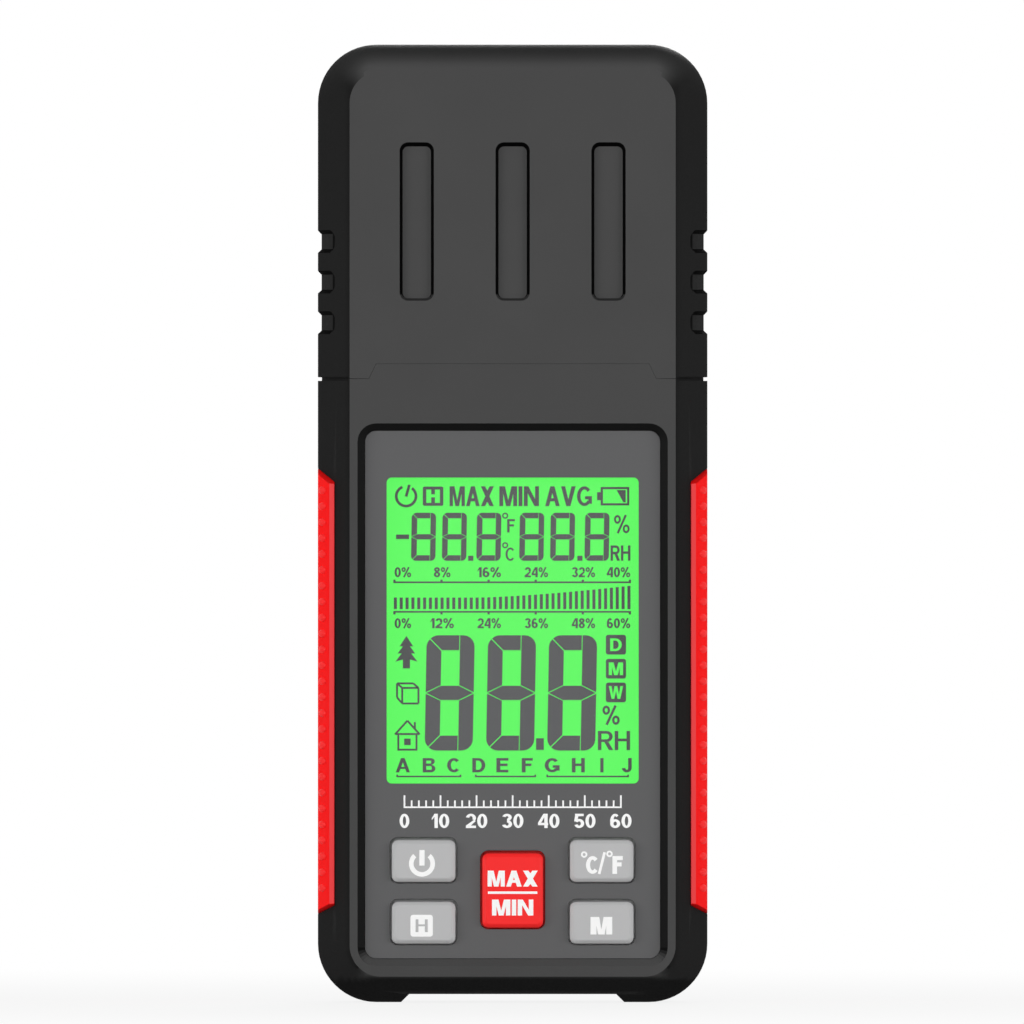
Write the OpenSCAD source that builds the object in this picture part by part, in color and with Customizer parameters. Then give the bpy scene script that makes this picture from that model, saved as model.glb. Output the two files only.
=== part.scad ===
// Pin-type moisture meter with a pull-off cap, five keys and a tilt-out battery door.
// The meter stands on its feet: +Z points up to the pins, the display faces -Y.
// The origin is on the ground under the middle of the body. All sizes are in millimetres.

/* [Body] */
// Width across the sides
body_w = 60; // [50:0.5:72]
// Height from the feet to the cap seam
case_len = 96; // [80:0.5:116]
// Thickness of the outer walls
wall = 2; // [1.7:0.1:2.4]
// Thickness of the floor above the feet
floor_t = 3.2; // [2.6:0.1:4]
// Corner radius of the outline seen from the front
corner_r = 9; // [7.5:0.5:11]
// Corner radius of the flat front face
face_r = 4.8; // [4:0.1:6]
// How far the front face lies in from each side
bevel_w = 4.7; // [3.9:0.1:5.2]
// How far back the front bevel runs
bevel_d = 8; // [6.5:0.1:9]
// How far the front face lies up from the feet
bevel_low = 3.8; // [3:0.1:4.5]
// How far the front face lies down from the crown
bevel_top = 4.2; // [3.4:0.1:5]
// Width of the rounding on the back edges
round_w = 4; // [3.2:0.1:4.8]
// Depth of the rounding on the back edges
round_d = 6; // [5:0.1:7]
// Width of each foot
foot_w = 3.8; // [3:0.1:5]
// Height of the feet
foot_h = 1.25; // [0.8:0.05:1.5]

/* [Cap, head and electrodes] */
// Height of the head that the cap covers
head_len = 30; // [25:0.5:36]
// Thickness of the head walls
head_wall = 1.8; // [1.4:0.1:2.2]
// Gap between the head and the inside of the cap
cap_gap = 0.4; // [0.3:0.05:0.6]
// Thickness of the crown of the cap
cap_top = 2.5; // [2:0.1:3.2]
// Height of the tongue that locates the cap on the front
tongue_h = 2.3; // [1.8:0.1:3]
// Diameter of an electrode pin
pin_d = 2.4; // [2:0.1:2.9]
// Length of pin that stands out of its collar
pin_out = 10; // [8:0.5:12]
// Distance between the two pins
pin_pitch = 26; // [22:0.5:31]
// Free height above the pin tips inside the cap
tip_room = 4; // [3:0.5:6]
// Outer diameter of a pin socket
socket_d = 6; // [5:0.1:7.2]
// Height of a pin collar
collar_h = 4; // [3.2:0.1:5]
// Width of a pin collar across its flats
collar_w = 7; // [6.2:0.1:8.4]

/* [Front panel and display] */
// Depth of the panel below the front face
panel_recess = 1; // [0.8:0.05:1.2]
// Thickness of the panel
panel_t = 1; // [0.8:0.05:1.2]
// Width of the sloping rim around the panel
rim_w = 1.15; // [0.9:0.05:1.4]
// Distance between the panel and the side of the front face
panel_side = 2.6; // [2.2:0.1:3]
// Height of the lower edge of the panel above the feet
panel_low = 6.3; // [5.8:0.1:7.5]
// Distance between the panel and the cap seam
panel_high = 8; // [6.5:0.1:9.6]
// Width of the panel beside the display
view_side = 3.3; // [2.8:0.1:4]
// Height of the panel below the display, which holds the keys
view_low = 27.4; // [25:0.1:32]
// Height of the panel above the display
view_high = 7.2; // [5:0.1:9]
// Thickness of the display window
lens_t = 1; // [0.8:0.1:1.2]
// Thickness of the liquid crystal cell
lcd_t = 2.2; // [1.8:0.1:2.6]
// Thickness of the light guide
guide_t = 2.4; // [2:0.1:2.9]

/* [Keys] */
// Distance between the outer keys and the side of the panel
key_side = 4.1; // [3.4:0.1:5]
// Gap between the three columns of keys
key_apart = 3.9; // [3.2:0.1:4.7]
// Height of an outer key
key_h = 6.5; // [5.4:0.1:7.5]
// Height of the middle key
main_key_h = 11.9; // [10:0.1:13.5]
// Height of the lower row of keys above the edge of the panel
key_row = 6; // [5.5:0.1:7]
// Distance between the two rows of keys
row_pitch = 9.5; // [8.8:0.1:11.4]
// How far the keys stand out of the panel
key_proud = 0.9; // [0.75:0.05:1.1]
// Travel of a key
key_travel = 0.8; // [0.5:0.05:0.96]

/* [Batteries and door] */
// Diameter of a battery cell
cell_d = 10.5; // [9:0.1:12.6]
// Length of a battery cell with its button
cell_len = 44.5; // [37:0.1:53.5]
// Length of a compressed battery spring
spring_len = 6.7; // [5.5:0.1:8]
// Thickness of the battery door
door_t = 2; // [1.7:0.1:2.4]
// Diameter of the hinge pins of the battery door
hinge_d = 1.6; // [1.4:0.1:1.9]

/* [Grips and screws] */
// Depth of a side grip in the wall
grip_t = 1; // [0.8:0.05:1.2]
// Height of the lower end of the grips above the feet
grip_low = 13.7; // [12:0.1:18]
// Distance between the upper end of the grips and the cap seam
grip_high = 13.9; // [12:0.1:18]
// Thread diameter of the case screws
screw_d = 2.5; // [2.1:0.1:3]
// Thread diameter of the board screws
board_screw_d = 2; // [1.7:0.1:2.4]

/* [Hidden] */
$fn = 48;
HULL_FN = 32;
e = 0.01;            // how far pieces of one solid run into each other
plate = 0.2;         // thickness of the plates that a hull joins
big = 200;           // longer than the meter in every direction

// ---- depth, counted from the front face to the back face ----
seat_t = 1.2;        // shelf of the front case that the panel is glued to
lcd_gap = 0.2;       // from that shelf to the liquid crystal cell
guide_gap = 0.1;     // from the cell to the light guide
board_gap = 1.5;     // from the light guide to the circuit board
board_t = 1.6;
parts_gap = 2.4;     // room for the parts on the back of the board
bay_floor = 1.3;
cell_gap = 0.35;     // from the battery bay floor to the cells
cell_door_gap = 0.25;
body_d = panel_recess + panel_t + seat_t + lcd_gap + lcd_t + guide_gap + guide_t + board_gap
    + board_t + parts_gap + bay_floor + cell_gap + cell_d + cell_door_gap + door_t;
y_face = -body_d / 2;
y_back = body_d / 2;
y_panel = y_face + panel_recess;
y_seat = y_panel + panel_t;
y_shelf = y_seat + seat_t;
y_lcd = y_shelf + lcd_gap;
y_guide = y_lcd + lcd_t + guide_gap;
y_board = y_guide + guide_t + board_gap;
y_board_back = y_board + board_t;
y_bay = y_board_back + parts_gap;
y_cell = y_bay + bay_floor + cell_gap + cell_d / 2;
y_door = y_back - door_t;
y_split = 0;         // the two case halves meet here

// ---- heights ----
z_head = case_len + head_len;
socket_out = 1;      // a socket stands this far out of the head
z_collar = z_head + socket_out;
z_pin = z_collar + collar_h;
z_tip = z_pin + pin_out;
total_len = z_tip + tip_room + cap_top;
seam_gap = 0.1;      // between the cap and the case
panel_top = case_len - panel_high;
panel_h = panel_top - panel_low;
panel_z = (panel_top + panel_low) / 2;
view_bottom = panel_low + view_low;
view_top = panel_top - view_high;
view_h = view_top - view_bottom;
view_z = (view_top + view_bottom) / 2;
row_low = panel_low + key_row;
row_high = row_low + row_pitch;

// ---- widths ----
face_w = body_w - 2 * bevel_w;
panel_w = face_w - 2 * panel_side;
view_w = panel_w - 2 * view_side;
key_w = (panel_w - 2 * key_side - 2 * key_apart) / 3;
key_x = key_w + key_apart;
panel_r = 1.7;
view_r = 0.8;
key_r = 1;
fit = 0.1;           // clearance between parts that are assembled and stay put
key_fit = 0.25;      // clearance around a key

// ---- fasteners and battery bay ----
screw_x = body_w / 2 - 7.5;
screw_low = 7;
screw_high = case_len - 7;
boss_d = screw_d + 2.7;
board_boss_d = board_screw_d + 2.2;
board_half = body_w / 2 - wall - 3;
board_screw_x = board_half - 2.7;
board_screw_low = (row_low + row_high) / 2;
tongue_half = pin_pitch / 2 + 5;     // half width of the board's upper part, inside the head
head_screw_x = tongue_half - 3;
head_screw_z = case_len + 6;
contact_t = 0.4;
bay_len = cell_len + spring_len + 2 * contact_t;
bay_low = 13.5;
bay_high = bay_low + bay_len;
cell_pitch = cell_d + 0.7;
bay_half = 1.5 * cell_pitch + 0.2;
bay_wall = 1.5;
door_half = bay_half + 2.5;
door_top = bay_high + 2.5;
door_gap = 0.2;
hinge_r = door_t * 0.7;              // radius of the door's round lower edge
hinge_y = y_back - hinge_r;
hinge_z = bay_low - 0.1;
hinge_len = 1.2;
hinge_play = 0.08;

KEYS = [                             // name, column, height, key height
    ["power_key", -1, row_high, key_h],
    ["hold_key", -1, row_low, key_h],
    ["max_min_key", 0, (row_low + row_high) / 2, main_key_h],
    ["unit_key", 1, row_high, key_h],
    ["mode_key", 1, row_low, key_h],
];

// ---------------------------------------------------------------- shapes

// Extrudes a shape drawn in X and Z from depth y0 to depth y1.
module in_depth(y0, y1) {
    translate([0, y1, 0]) rotate([90, 0, 0]) linear_extrude(y1 - y0) children();
}

// Extrudes a shape drawn in Y and Z from x0 to x1.
module in_width(x0, x1) {
    translate([x0, 0, 0]) rotate([90, 0, 90]) linear_extrude(x1 - x0) children();
}

// A cylinder along Y.
module rod_y(x, z, y0, y1, d) {
    translate([x, y1, z]) rotate([90, 0, 0]) cylinder(d = d, h = y1 - y0);
}

// A cylinder along X.
module rod_x(y, z, x0, x1, d) {
    translate([x0, y, z]) rotate([0, 90, 0]) cylinder(d = d, h = x1 - x0);
}

// A rectangle with true round corners, centred on height z.
module rounded(w, h, r, z = 0) {
    translate([0, z]) {
        square([w - 2 * r, h], center = true);
        square([w, h - 2 * r], center = true);
        for (i = [-1, 1], j = [-1, 1]) translate([i * (w / 2 - r), j * (h / 2 - r)]) circle(r = r);
    }
}

// A box from corner a to corner b.
module box(a, b) {
    translate(a) cube(b - a);
}

module both_sides() {
    children();
    mirror([1, 0, 0]) children();
}

// ---- the outer form, taken in by t on every side ----
function mix(a, b, u) = a + (b - a) * u;
function arc(u) = 1 - sqrt(1 - pow(1 - u, 2));
// How far a bevel's front end and side end move when its walls are taken in by t.
function front_move(w, d, t) = t * (norm([w, d]) - w) / d;
function side_move(w, d, t) = t * (norm([w, d]) - d) / w;

// A thin rounded outline at depth y, or only its upper two corners.
module slice(y, half, low, high, r, d = plate, rows = [-1, 1]) {
    in_depth(y, y + d) translate([0, (low + high) / 2]) for (i = [-1, 1], j = rows)
        translate([i * (half - r), j * ((high - low) / 2 - r)]) circle(r = r, $fn = HULL_FN);
}

FINE = [0.1, 0.3, 0.6];              // how the rounded edges of the outside are divided
COARSE = [0.3];                      // and those of the hollows

module envelope(t = 0, steps = COARSE) {
    y1 = y_face + t;
    y2 = y_face + bevel_d + side_move(bevel_w, bevel_d, t);
    y3 = y_back - round_d;
    y4 = y_back - t - plate;
    low_1 = bevel_low + front_move(bevel_low, bevel_d, t);
    half_1 = body_w / 2 - bevel_w - front_move(bevel_w, bevel_d, t);
    half_2 = body_w / 2 - t;
    top = total_len - t;
    r1 = max(face_r - t, 1);
    r2 = max(corner_r - t, 1);
    hull() {
        slice(y1, half_1, low_1, top - bevel_top, r1);
        for (u = steps) slice(mix(y1, y2, u), mix(half_1, half_2, u) - 0.05, mix(low_1, t, u),
            top - bevel_top * arc(u), mix(r1, r2, u), rows = [1]);
        slice(y2, half_2, t, top, r2, y3 - y2);
        for (u = concat([0], steps)) slice(mix(y4, y3, u), half_2 - round_w * arc(u), t + 3 * arc(u),
            top - 3.5 * arc(u), mix(max(r2 - 3, 1), r2, u));
    }
}

// The part of the children between two heights.
module between(z0, z1) {
    intersection() {
        children();
        box([-big, -big, z0], [big, big, z1]);
    }
}

module front_half() {
    intersection() {
        children();
        box([-big, -big, -big], [big, y_split, big]);
    }
}

module back_half() {
    intersection() {
        children();
        box([-big, y_split, -big], [big, big, big]);
    }
}

// ---------------------------------------------------------------- cap

groove = 0.6;        // the seam groove is this deep, and this high where cap and case meet

// The groove that runs round the seam, everywhere but across the flat front face.
module seam_groove() {
    difference() {
        box([-big, -big, case_len - groove / 2], [big, big, case_len + groove / 2]);
        envelope(groove);
        box([-face_w / 2, y_face - 1, 0], [face_w / 2, y_face + wall, big]);
    }
}

module tongue_outline(gap) {
    low = 22.1 + gap + (face_w - 50.6) / 2;
    high = low - 1.1;
    translate([0, case_len]) polygon([
        [-low, -e], [low, -e], [low, 0], [high, tongue_h + gap], [-high, tongue_h + gap], [-low, 0]]);
}

pocket_w = 5.3;
pocket_len = 24.4;
pocket_r = 1.3;
pocket_depth = 0.6;
pocket_pitch = 14.75;
pocket_z = case_len + 24.2;
notch_h = 2.4;
notch_depth = 0.57;
notch_pitch = 6.25;
notch_z = case_len + 14.9;
notch_front = 2.1;   // the notches end this far in from the side of the body
notch_back = 7;

// A band round the side of the body, depth deep, that starts inset from the side and ends at y.
module side_band(depth, inset, y_end) {
    n = [bevel_d, -bevel_w] / norm([bevel_d, bevel_w]);
    start = [body_w / 2 - inset, y_face + bevel_d * (bevel_w - inset) / bevel_w];
    turn = [body_w / 2 - depth, y_face + bevel_d + side_move(bevel_w, bevel_d, depth)];
    polygon([start - n * depth, start + n * 2, [body_w, start[1] - 2], [body_w, y_end],
        [turn[0], y_end], turn]);
}

module cap() {
    color([0.29, 0.29, 0.29]) difference() {
        between(case_len + seam_gap, big) envelope(0, FINE);
        between(0, total_len - cap_top) envelope(wall);
        seam_groove();
        in_depth(y_face - 1, y_face + wall + 0.5) tongue_outline(0.15);
        for (i = [-1:1]) translate([i * pocket_pitch, 0, 0])
            in_depth(y_face - 1, y_face + pocket_depth) rounded(pocket_w, pocket_len, pocket_r, pocket_z);
        both_sides() for (i = [-1:1]) translate([0, 0, notch_z + i * notch_pitch - notch_h / 2])
            linear_extrude(notch_h) side_band(notch_depth, notch_front, notch_back);
    }
}

seal_low = case_len + 3.5;
seal_h = 1.6;
seal_depth = 0.8;
seal_gap = 0.1;      // the seal stops this far from the cap

// Cuts the children down to the band of the seal, outside the bottom of its groove.
module seal_band() {
    difference() {
        between(seal_low, seal_low + seal_h) children();
        envelope(wall + cap_gap + seal_depth);
    }
}

module cap_seal() {
    color([0.05, 0.05, 0.05]) seal_band() envelope(wall + seal_gap);
}

// ---------------------------------------------------------------- case

module foot_channel() {
    half = body_w / 2 - corner_r - foot_w;
    in_depth(-big, big) polygon([[-half, -1], [half, -1], [half, 0], [half - foot_h, foot_h],
        [-half + foot_h, foot_h], [-half, 0]]);
}

grip_inset = 2.6;    // the front edge of a grip lies this far in from the side
grip_end_y = 7;

// The outline of a grip seen from the side, with its front corners cut off.
module grip_outline() {
    low = grip_low;
    high = case_len - grip_high;
    corner_y = y_face + bevel_d;
    front_y = y_face + bevel_d * (bevel_w - grip_inset) / bevel_w;
    polygon([[corner_y, low], [grip_end_y - 1.5, low], [grip_end_y, low + 1.5],
        [grip_end_y, high - 1.5], [grip_end_y - 1.5, high], [corner_y, high],
        [front_y, high - 2.3], [front_y - 3, high - 2.3], [front_y - 3, low + 1.5],
        [front_y, low + 1.5]]);
}

module grip_pocket() {
    intersection() {
        in_width(0, big) grip_outline();
        linear_extrude(case_len) side_band(grip_t, grip_inset, grip_end_y);
    }
}

// Body, head and the hollow inside both, before they are cut into a front and a back half.
module case_block() {
    difference() {
        union() {
            between(0, case_len) envelope(0, FINE);
            between(case_len - e, z_head) envelope(wall + cap_gap);
        }
        between(floor_t, case_len - wall) envelope(wall);
        between(case_len - wall - 1, z_head - head_top) envelope(wall + cap_gap + head_wall);
        seal_band() cube(2 * big, center = true);
        seam_groove();
        foot_channel();
        both_sides() grip_pocket();
        for (i = [-1, 1]) translate([i * pin_pitch / 2, 0, z_head - head_top - 1])
            cylinder(d = socket_d + 2 * fit, h = head_top + 2);
    }
}

head_top = 2.4;
lens_edge = 0.9;     // the window is this much larger than the view on each side

module key_openings(grow) {
    for (k = KEYS) translate([k[1] * key_x, 0]) rounded(key_w + 2 * grow, k[3] + 2 * grow, key_r + grow, k[2]);
}

// Where the sloping rim meets the panel, cut with straight walls.
module panel_pocket() {
    in_depth(y_face - 1, y_seat) rounded(panel_w + 2 * fit, panel_h + 2 * fit, panel_r + fit, panel_z);
    // The sloping rim is a stack of two hulled outlines.
    hull() {
        in_depth(y_face - e, y_face) rounded(panel_w + 2 * rim_w, panel_h + 2 * rim_w, panel_r + rim_w, panel_z,
            $fn = HULL_FN);
        in_depth(y_panel - e, y_panel) rounded(panel_w + 2 * fit, panel_h + 2 * fit, panel_r + fit, panel_z,
            $fn = HULL_FN);
    }
}

module at_case_screws() {
    for (i = [-1, 1], z = [screw_low, screw_high]) translate([i * screw_x, 0, z]) children();
}

module front_case() {
    color([0.29, 0.29, 0.29]) difference() {
        union() {
            difference() {
                front_half() case_block();
                panel_pocket();
            }
            in_depth(y_face, y_face + wall + cap_gap + 1) tongue_outline(0);
            // The shelf behind the panel.
            in_depth(y_seat, y_shelf) rounded(panel_w + 3, panel_h + 3, panel_r, panel_z);
            // Screw posts for the back half and for the board.
            for (i = [-1, 1], z = [screw_low, screw_high])
                rod_y(i * screw_x, z, y_seat, y_split, boss_d);
            for (i = [-1, 1]) {
                rod_y(i * board_screw_x, board_screw_low, y_seat, y_board, board_boss_d);
                rod_y(i * head_screw_x, head_screw_z, y_face + wall + cap_gap + 1, y_board, board_boss_d);
            }
        }
        // Openings for the display window and the keys.
        in_depth(y_seat - 1, y_shelf + 1)
            rounded(view_w + 2 * lens_edge + 2 * fit, view_h + 2 * lens_edge + 2 * fit, view_r + fit, view_z);
        in_depth(y_seat - 1, y_shelf + 1) key_openings(key_fit);
        // Pilot holes.
        for (i = [-1, 1], z = [screw_low, screw_high])
            rod_y(i * screw_x, z, y_split - 10, y_split + 1, screw_d + 0.04);
        for (i = [-1, 1]) {
            rod_y(i * board_screw_x, board_screw_low, y_board - 5, y_board + 1, board_screw_d + 0.04);
            rod_y(i * head_screw_x, head_screw_z, y_board - 5, y_board + 1, board_screw_d + 0.04);
        }
    }
}

head_r = screw_d * 0.9;              // radius of a case screw's head
head_t = 1.6;
head_sink = 2.4;                     // depth of the seat of the head below the back face
vent_w = 16;
vent_h = 1.2;

module vent_slots() {
    for (i = [0:2]) translate([0, 0, case_len - 4.2 - 2.5 * i])
        in_depth(y_back - wall - 1, y_back + 1) rounded(vent_w - 2.5 * i, vent_h, vent_h / 2 - e);
}

// Walls that hold the cells, and the frame that the door lies on.
module battery_bay() {
    box([-bay_half - bay_wall, y_bay, bay_low - bay_wall],
        [bay_half + bay_wall, y_door - door_gap, bay_high + bay_wall]);
    box([-door_half - 2, y_door - door_gap - 1.5, bay_low - 4.2],
        [door_half + 2, y_back - 1, door_top + 1.6]);
}

// The legs of the two end contacts pass through the bay floor here.
leg_w = 1.6;
module at_legs() {
    translate([-cell_pitch, 0, bay_high - contact_t]) children();
    translate([cell_pitch, 0, bay_low]) children();
}

module rear_case() {
    color([0.16, 0.16, 0.16]) difference() {
        union() {
            back_half() case_block();
            intersection() {
                envelope(0.5);
                battery_bay();
            }
            for (i = [-1, 1], z = [screw_low, screw_high])
                rod_y(i * screw_x, z, y_split + 0.05, y_back - 1.5, boss_d);
            // Lips that reach into the front half.
            both_sides() {
                x = body_w / 2 - wall;
                box([x - 1.1, y_split - 1.5, 14], [x - fit, y_split + e, case_len - 14]);
                box([x - 1.1, y_split, 14], [x + 0.3, y_split + 1.5, case_len - 14]);
            }
        }
        // Cells, door and hinge.
        box([-bay_half, y_bay + bay_floor, bay_low], [bay_half, y_back + 1, bay_high]);
        box([-door_half - door_gap, y_door - door_gap, hinge_z],
            [door_half + door_gap, y_back + 1, door_top + door_gap]);
        rod_x(hinge_y, hinge_z, -door_half - door_gap, door_half + door_gap, 2 * hinge_r + 0.6);
        box([-door_half - door_gap, hinge_y, hinge_z - hinge_r - 0.3],
            [door_half + door_gap, y_back + 1, hinge_z + e]);
        rod_x(hinge_y, hinge_z, -door_half - hinge_len - 0.3, door_half + hinge_len + 0.3, hinge_d + 2 * hinge_play);
        // Slot that the latch hooks into.
        box([-latch_w / 2 - 0.3, y_door + 0.1, door_top], [latch_w / 2 + 0.3, y_door + 1.3, door_top + 1.3]);
        at_legs() box([-leg_w / 2 - fit, y_bay - 1, -fit], [leg_w / 2 + fit, y_bay + bay_floor + 1, contact_t + fit]);
        for (i = [-1, 1], z = [screw_low, screw_high]) {
            rod_y(i * screw_x, z, y_split - 1, y_back + 1, screw_d + 0.3);
            rod_y(i * screw_x, z, y_back - head_sink, y_back + 1, 2 * head_r + 0.3);
        }
        vent_slots();
    }
}

module case_screws() {
    color([0.75, 0.75, 0.77]) at_case_screws() {
        difference() {
            rod_y(0, 0, y_back - head_sink, y_back - head_sink + head_t, 2 * head_r);
            for (a = [0, 90]) translate([0, y_back - head_sink + head_t, 0]) rotate([0, a, 0])
                box([-head_r * 0.6, -0.8, -0.25], [head_r * 0.6, 1, 0.25]);
        }
        rod_y(0, 0, y_split - 8, y_back - head_sink, screw_d);
    }
}

// ---------------------------------------------------------------- side grips

module grip(side) {
    n = [bevel_d, -bevel_w] / norm([bevel_d, bevel_w]);
    start = [body_w / 2 - grip_inset, y_face + bevel_d * (bevel_w - grip_inset) / bevel_w];
    turn = [body_w / 2 - grip_t, y_face + bevel_d + side_move(bevel_w, bevel_d, grip_t)];
    edge = start + [0.8, 0.1];
    outer_y = edge[1] + (body_w / 2 - edge[0]) * bevel_d / bevel_w;
    color([0.9, 0.1, 0.1]) mirror([side < 0 ? 1 : 0, 0, 0]) intersection() {
        in_width(0, big) grip_outline();
        linear_extrude(case_len) polygon([start - n * grip_t, start, edge, [body_w / 2, outer_y],
            [body_w / 2, grip_end_y], [body_w / 2 - grip_t, grip_end_y], turn]);
    }
}

// ---------------------------------------------------------------- panel and display

module face_panel() {
    color([0.37, 0.37, 0.37]) difference() {
        in_depth(y_panel, y_seat) rounded(panel_w, panel_h, panel_r, panel_z);
        in_depth(y_panel - 1, y_seat + 1) rounded(view_w, view_h, view_r, view_z);
        in_depth(y_panel - 1, y_seat + 1) key_openings(key_fit);
    }
}

module display_lens() {
    color([0.8, 0.9, 0.85, 0.3]) in_depth(y_seat, y_seat + lens_t)
        rounded(view_w + 2 * lens_edge, view_h + 2 * lens_edge, view_r, view_z);
}

module display_gasket() {
    color([0.1, 0.1, 0.1]) difference() {
        in_depth(y_seat + lens_t, y_lcd) rounded(view_w + 2 * lens_edge, view_h + 2 * lens_edge, view_r, view_z);
        in_depth(y_seat, y_lcd + 1) rounded(view_w, view_h, view_r, view_z);
    }
}

lcd_side = 2.3;      // the cell is this much wider than the view on each side
lcd_end = 3.2;       // and this much longer at each end
holder_wall = 1.2;
guide_edge = 0.6;
zebra_t = 1.6;

module lcd_cell() {
    color([0.35, 0.95, 0.4]) in_depth(y_lcd, y_lcd + lcd_t)
        rounded(view_w + 2 * lcd_side, view_h + 2 * lcd_end, 0.5, view_z);
}

module at_zebras() {
    for (i = [-1, 1]) translate([0, 0, view_z + i * (view_h / 2 + lcd_end - 0.5 - zebra_t / 2)]) children();
}

module zebra_bar(grow) {
    box([-view_w / 2 + 2 - grow, y_lcd + lcd_t, -zebra_t / 2 - grow],
        [view_w / 2 - 2 + grow, y_board, zebra_t / 2 + grow]);
}

module zebra_strips() {
    color([0.85, 0.6, 0.65]) at_zebras() zebra_bar(0);
}

module lcd_holder() {
    w = view_w + 2 * lcd_side;
    h = view_h + 2 * lcd_end;
    color([0.92, 0.92, 0.9]) difference() {
        in_depth(y_lcd + fit, y_board) rounded(w + 2 * holder_wall, h + 2 * holder_wall, 1, view_z);
        in_depth(y_lcd - 1, y_lcd + lcd_t) rounded(w + 2 * fit, h + 2 * fit, 0.5, view_z);
        in_depth(y_lcd, y_board + 1)
            rounded(view_w + 2 * guide_edge + 2 * fit, view_h + 2 * guide_edge + 2 * fit, 0.5, view_z);
        at_zebras() zebra_bar(fit);
    }
}

// The light guide stands on four short legs on the board.
module light_guide() {
    x = view_w / 2 + guide_edge;
    z = view_h / 2 + guide_edge;
    color([0.9, 1, 0.9]) {
        in_depth(y_guide, y_guide + guide_t) rounded(2 * x, 2 * z, 0.5, view_z);
        for (i = [-1, 1], j = [-1, 1])
            rod_y(i * (x - 2.5), view_z + j * (z - 2.5), y_guide + guide_t - e, y_board, 2);
    }
}

led_w = 3;
module backlight_leds() {
    color([0.95, 0.95, 0.8]) for (i = [-1, 1]) translate([i * view_w / 4, 0, view_z])
        box([-led_w / 2, y_board - board_gap + 0.2, -led_w / 2], [led_w / 2, y_board, led_w / 2]);
}

// ---------------------------------------------------------------- keys

flange = 0.8;        // width of the lip that keeps a key in
flange_t = 1;
post_r = 1.6;
post_end = y_board - key_travel - 0.15;
flange_y = y_shelf + fit;
dome_y = flange_y + flange_t;

module key(k) {
    y = y_panel - key_proud;
    translate([k[1] * key_x, 0, 0]) {
        hull() {
            in_depth(y, y + e) rounded(key_w - 0.9, k[3] - 0.9, key_r - 0.3, k[2], $fn = HULL_FN);
            in_depth(y + 0.45, y + 0.45 + e) rounded(key_w, k[3], key_r, k[2], $fn = HULL_FN);
        }
        in_depth(y + 0.45, flange_y + e) rounded(key_w, k[3], key_r, k[2]);
        in_depth(flange_y, dome_y) rounded(key_w + 2 * flange, k[3] + 2 * flange, key_r, k[2]);
        rod_y(0, k[2], dome_y - e, post_end, 2 * post_r);
    }
}

module colored_key(k) {
    color(k[1] == 0 ? [0.9, 0.15, 0.15] : [0.72, 0.72, 0.72]) key(k);
}

dome_low = 3.6;      // radius of a dome where it joins the sheet
dome_high = 2.6;     // and where it carries the key
dome_t = 0.5;
sheet_t = 0.8;

module keypad_sheet() {
    half = key_x + key_w / 2 + 1.5;
    color([0.6, 0.6, 0.6]) difference() {
        in_depth(y_board - sheet_t, y_board)
            rounded(2 * half, row_pitch + key_h + 4.2, 2, (row_low + row_high) / 2);
        for (k = KEYS) rod_y(k[1] * key_x, k[2], y_board - sheet_t - 1, y_board + 1, 2 * dome_low);
    }
}

// Silicone cones that push the keys back out.
module keypad_domes() {
    h = y_board - dome_y;
    color([0.6, 0.6, 0.6]) for (k = KEYS) translate([k[1] * key_x, y_board, k[2]]) rotate([90, 0, 0])
        rotate_extrude() polygon([[dome_low - dome_t, 0], [dome_low, 0], [dome_low, sheet_t],
            [dome_high, h], [dome_high - dome_t, h], [dome_low - dome_t, sheet_t]]);
}

// ---------------------------------------------------------------- circuit board

board_low = floor_t + 2.3;
board_high = case_len - wall - 3;
board_top = case_len + 12;

module main_board() {
    color([0.1, 0.4, 0.2]) difference() {
        union() {
            in_depth(y_board, y_board_back)
                rounded(2 * board_half, board_high - board_low, 4, (board_high + board_low) / 2);
            in_depth(y_board, y_board_back)
                rounded(2 * tongue_half, board_top - board_high + 6, 1, (board_top + board_high - 6) / 2);
        }
        for (i = [-1, 1], z = [screw_low, screw_high])
            rod_y(i * screw_x, z, y_board - 1, y_board_back + 1, boss_d + 1);
        for (i = [-1, 1]) {
            rod_y(i * board_screw_x, board_screw_low, y_board - 1, y_board_back + 1, board_screw_d + 0.2);
            rod_y(i * head_screw_x, head_screw_z, y_board - 1, y_board_back + 1, board_screw_d + 0.2);
        }
    }
}

module board_screws() {
    color([0.75, 0.75, 0.77]) for (i = [-1, 1]) {
        for (p = [[i * board_screw_x, board_screw_low], [i * head_screw_x, head_screw_z]]) {
            rod_y(p[0], p[1], y_board_back, y_board_back + 1.3, board_screw_d * 1.8);
            rod_y(p[0], p[1], y_board - 4.5, y_board_back, board_screw_d);
        }
    }
}

CHIPS = [            // x, height above the feet, width, height, thickness
    [-6, 50, 10, 10, 1.4], [8, 52, 5, 4, 1.5], [8, 44, 5, 4, 1.5], [-6, 38, 6, 3, 1.2],
    [3, 36, 2, 1.2, 0.8], [6.5, 36, 2, 1.2, 0.8], [10, 36, 2, 1.2, 0.8], [-14, 46, 1.2, 2, 0.8],
    [-14, 50, 1.2, 2, 0.8], [-14, 54, 1.2, 2, 0.8],
];

module board_chips() {
    color([0.08, 0.08, 0.08]) for (c = CHIPS) translate([c[0], 0, c[1]])
        box([-c[2] / 2, y_board_back, -c[3] / 2], [c[2] / 2, y_board_back + c[4], c[3] / 2]);
}

module humidity_sensor() {
    color([0.95, 0.95, 0.95]) translate([0, 0, case_len - 6.7]) difference() {
        box([-3, y_board_back, -3], [3, y_board_back + 1.2, 3]);
        rod_y(0, 0, y_board_back + 0.6, y_board_back + 2, 2);
    }
}

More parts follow.
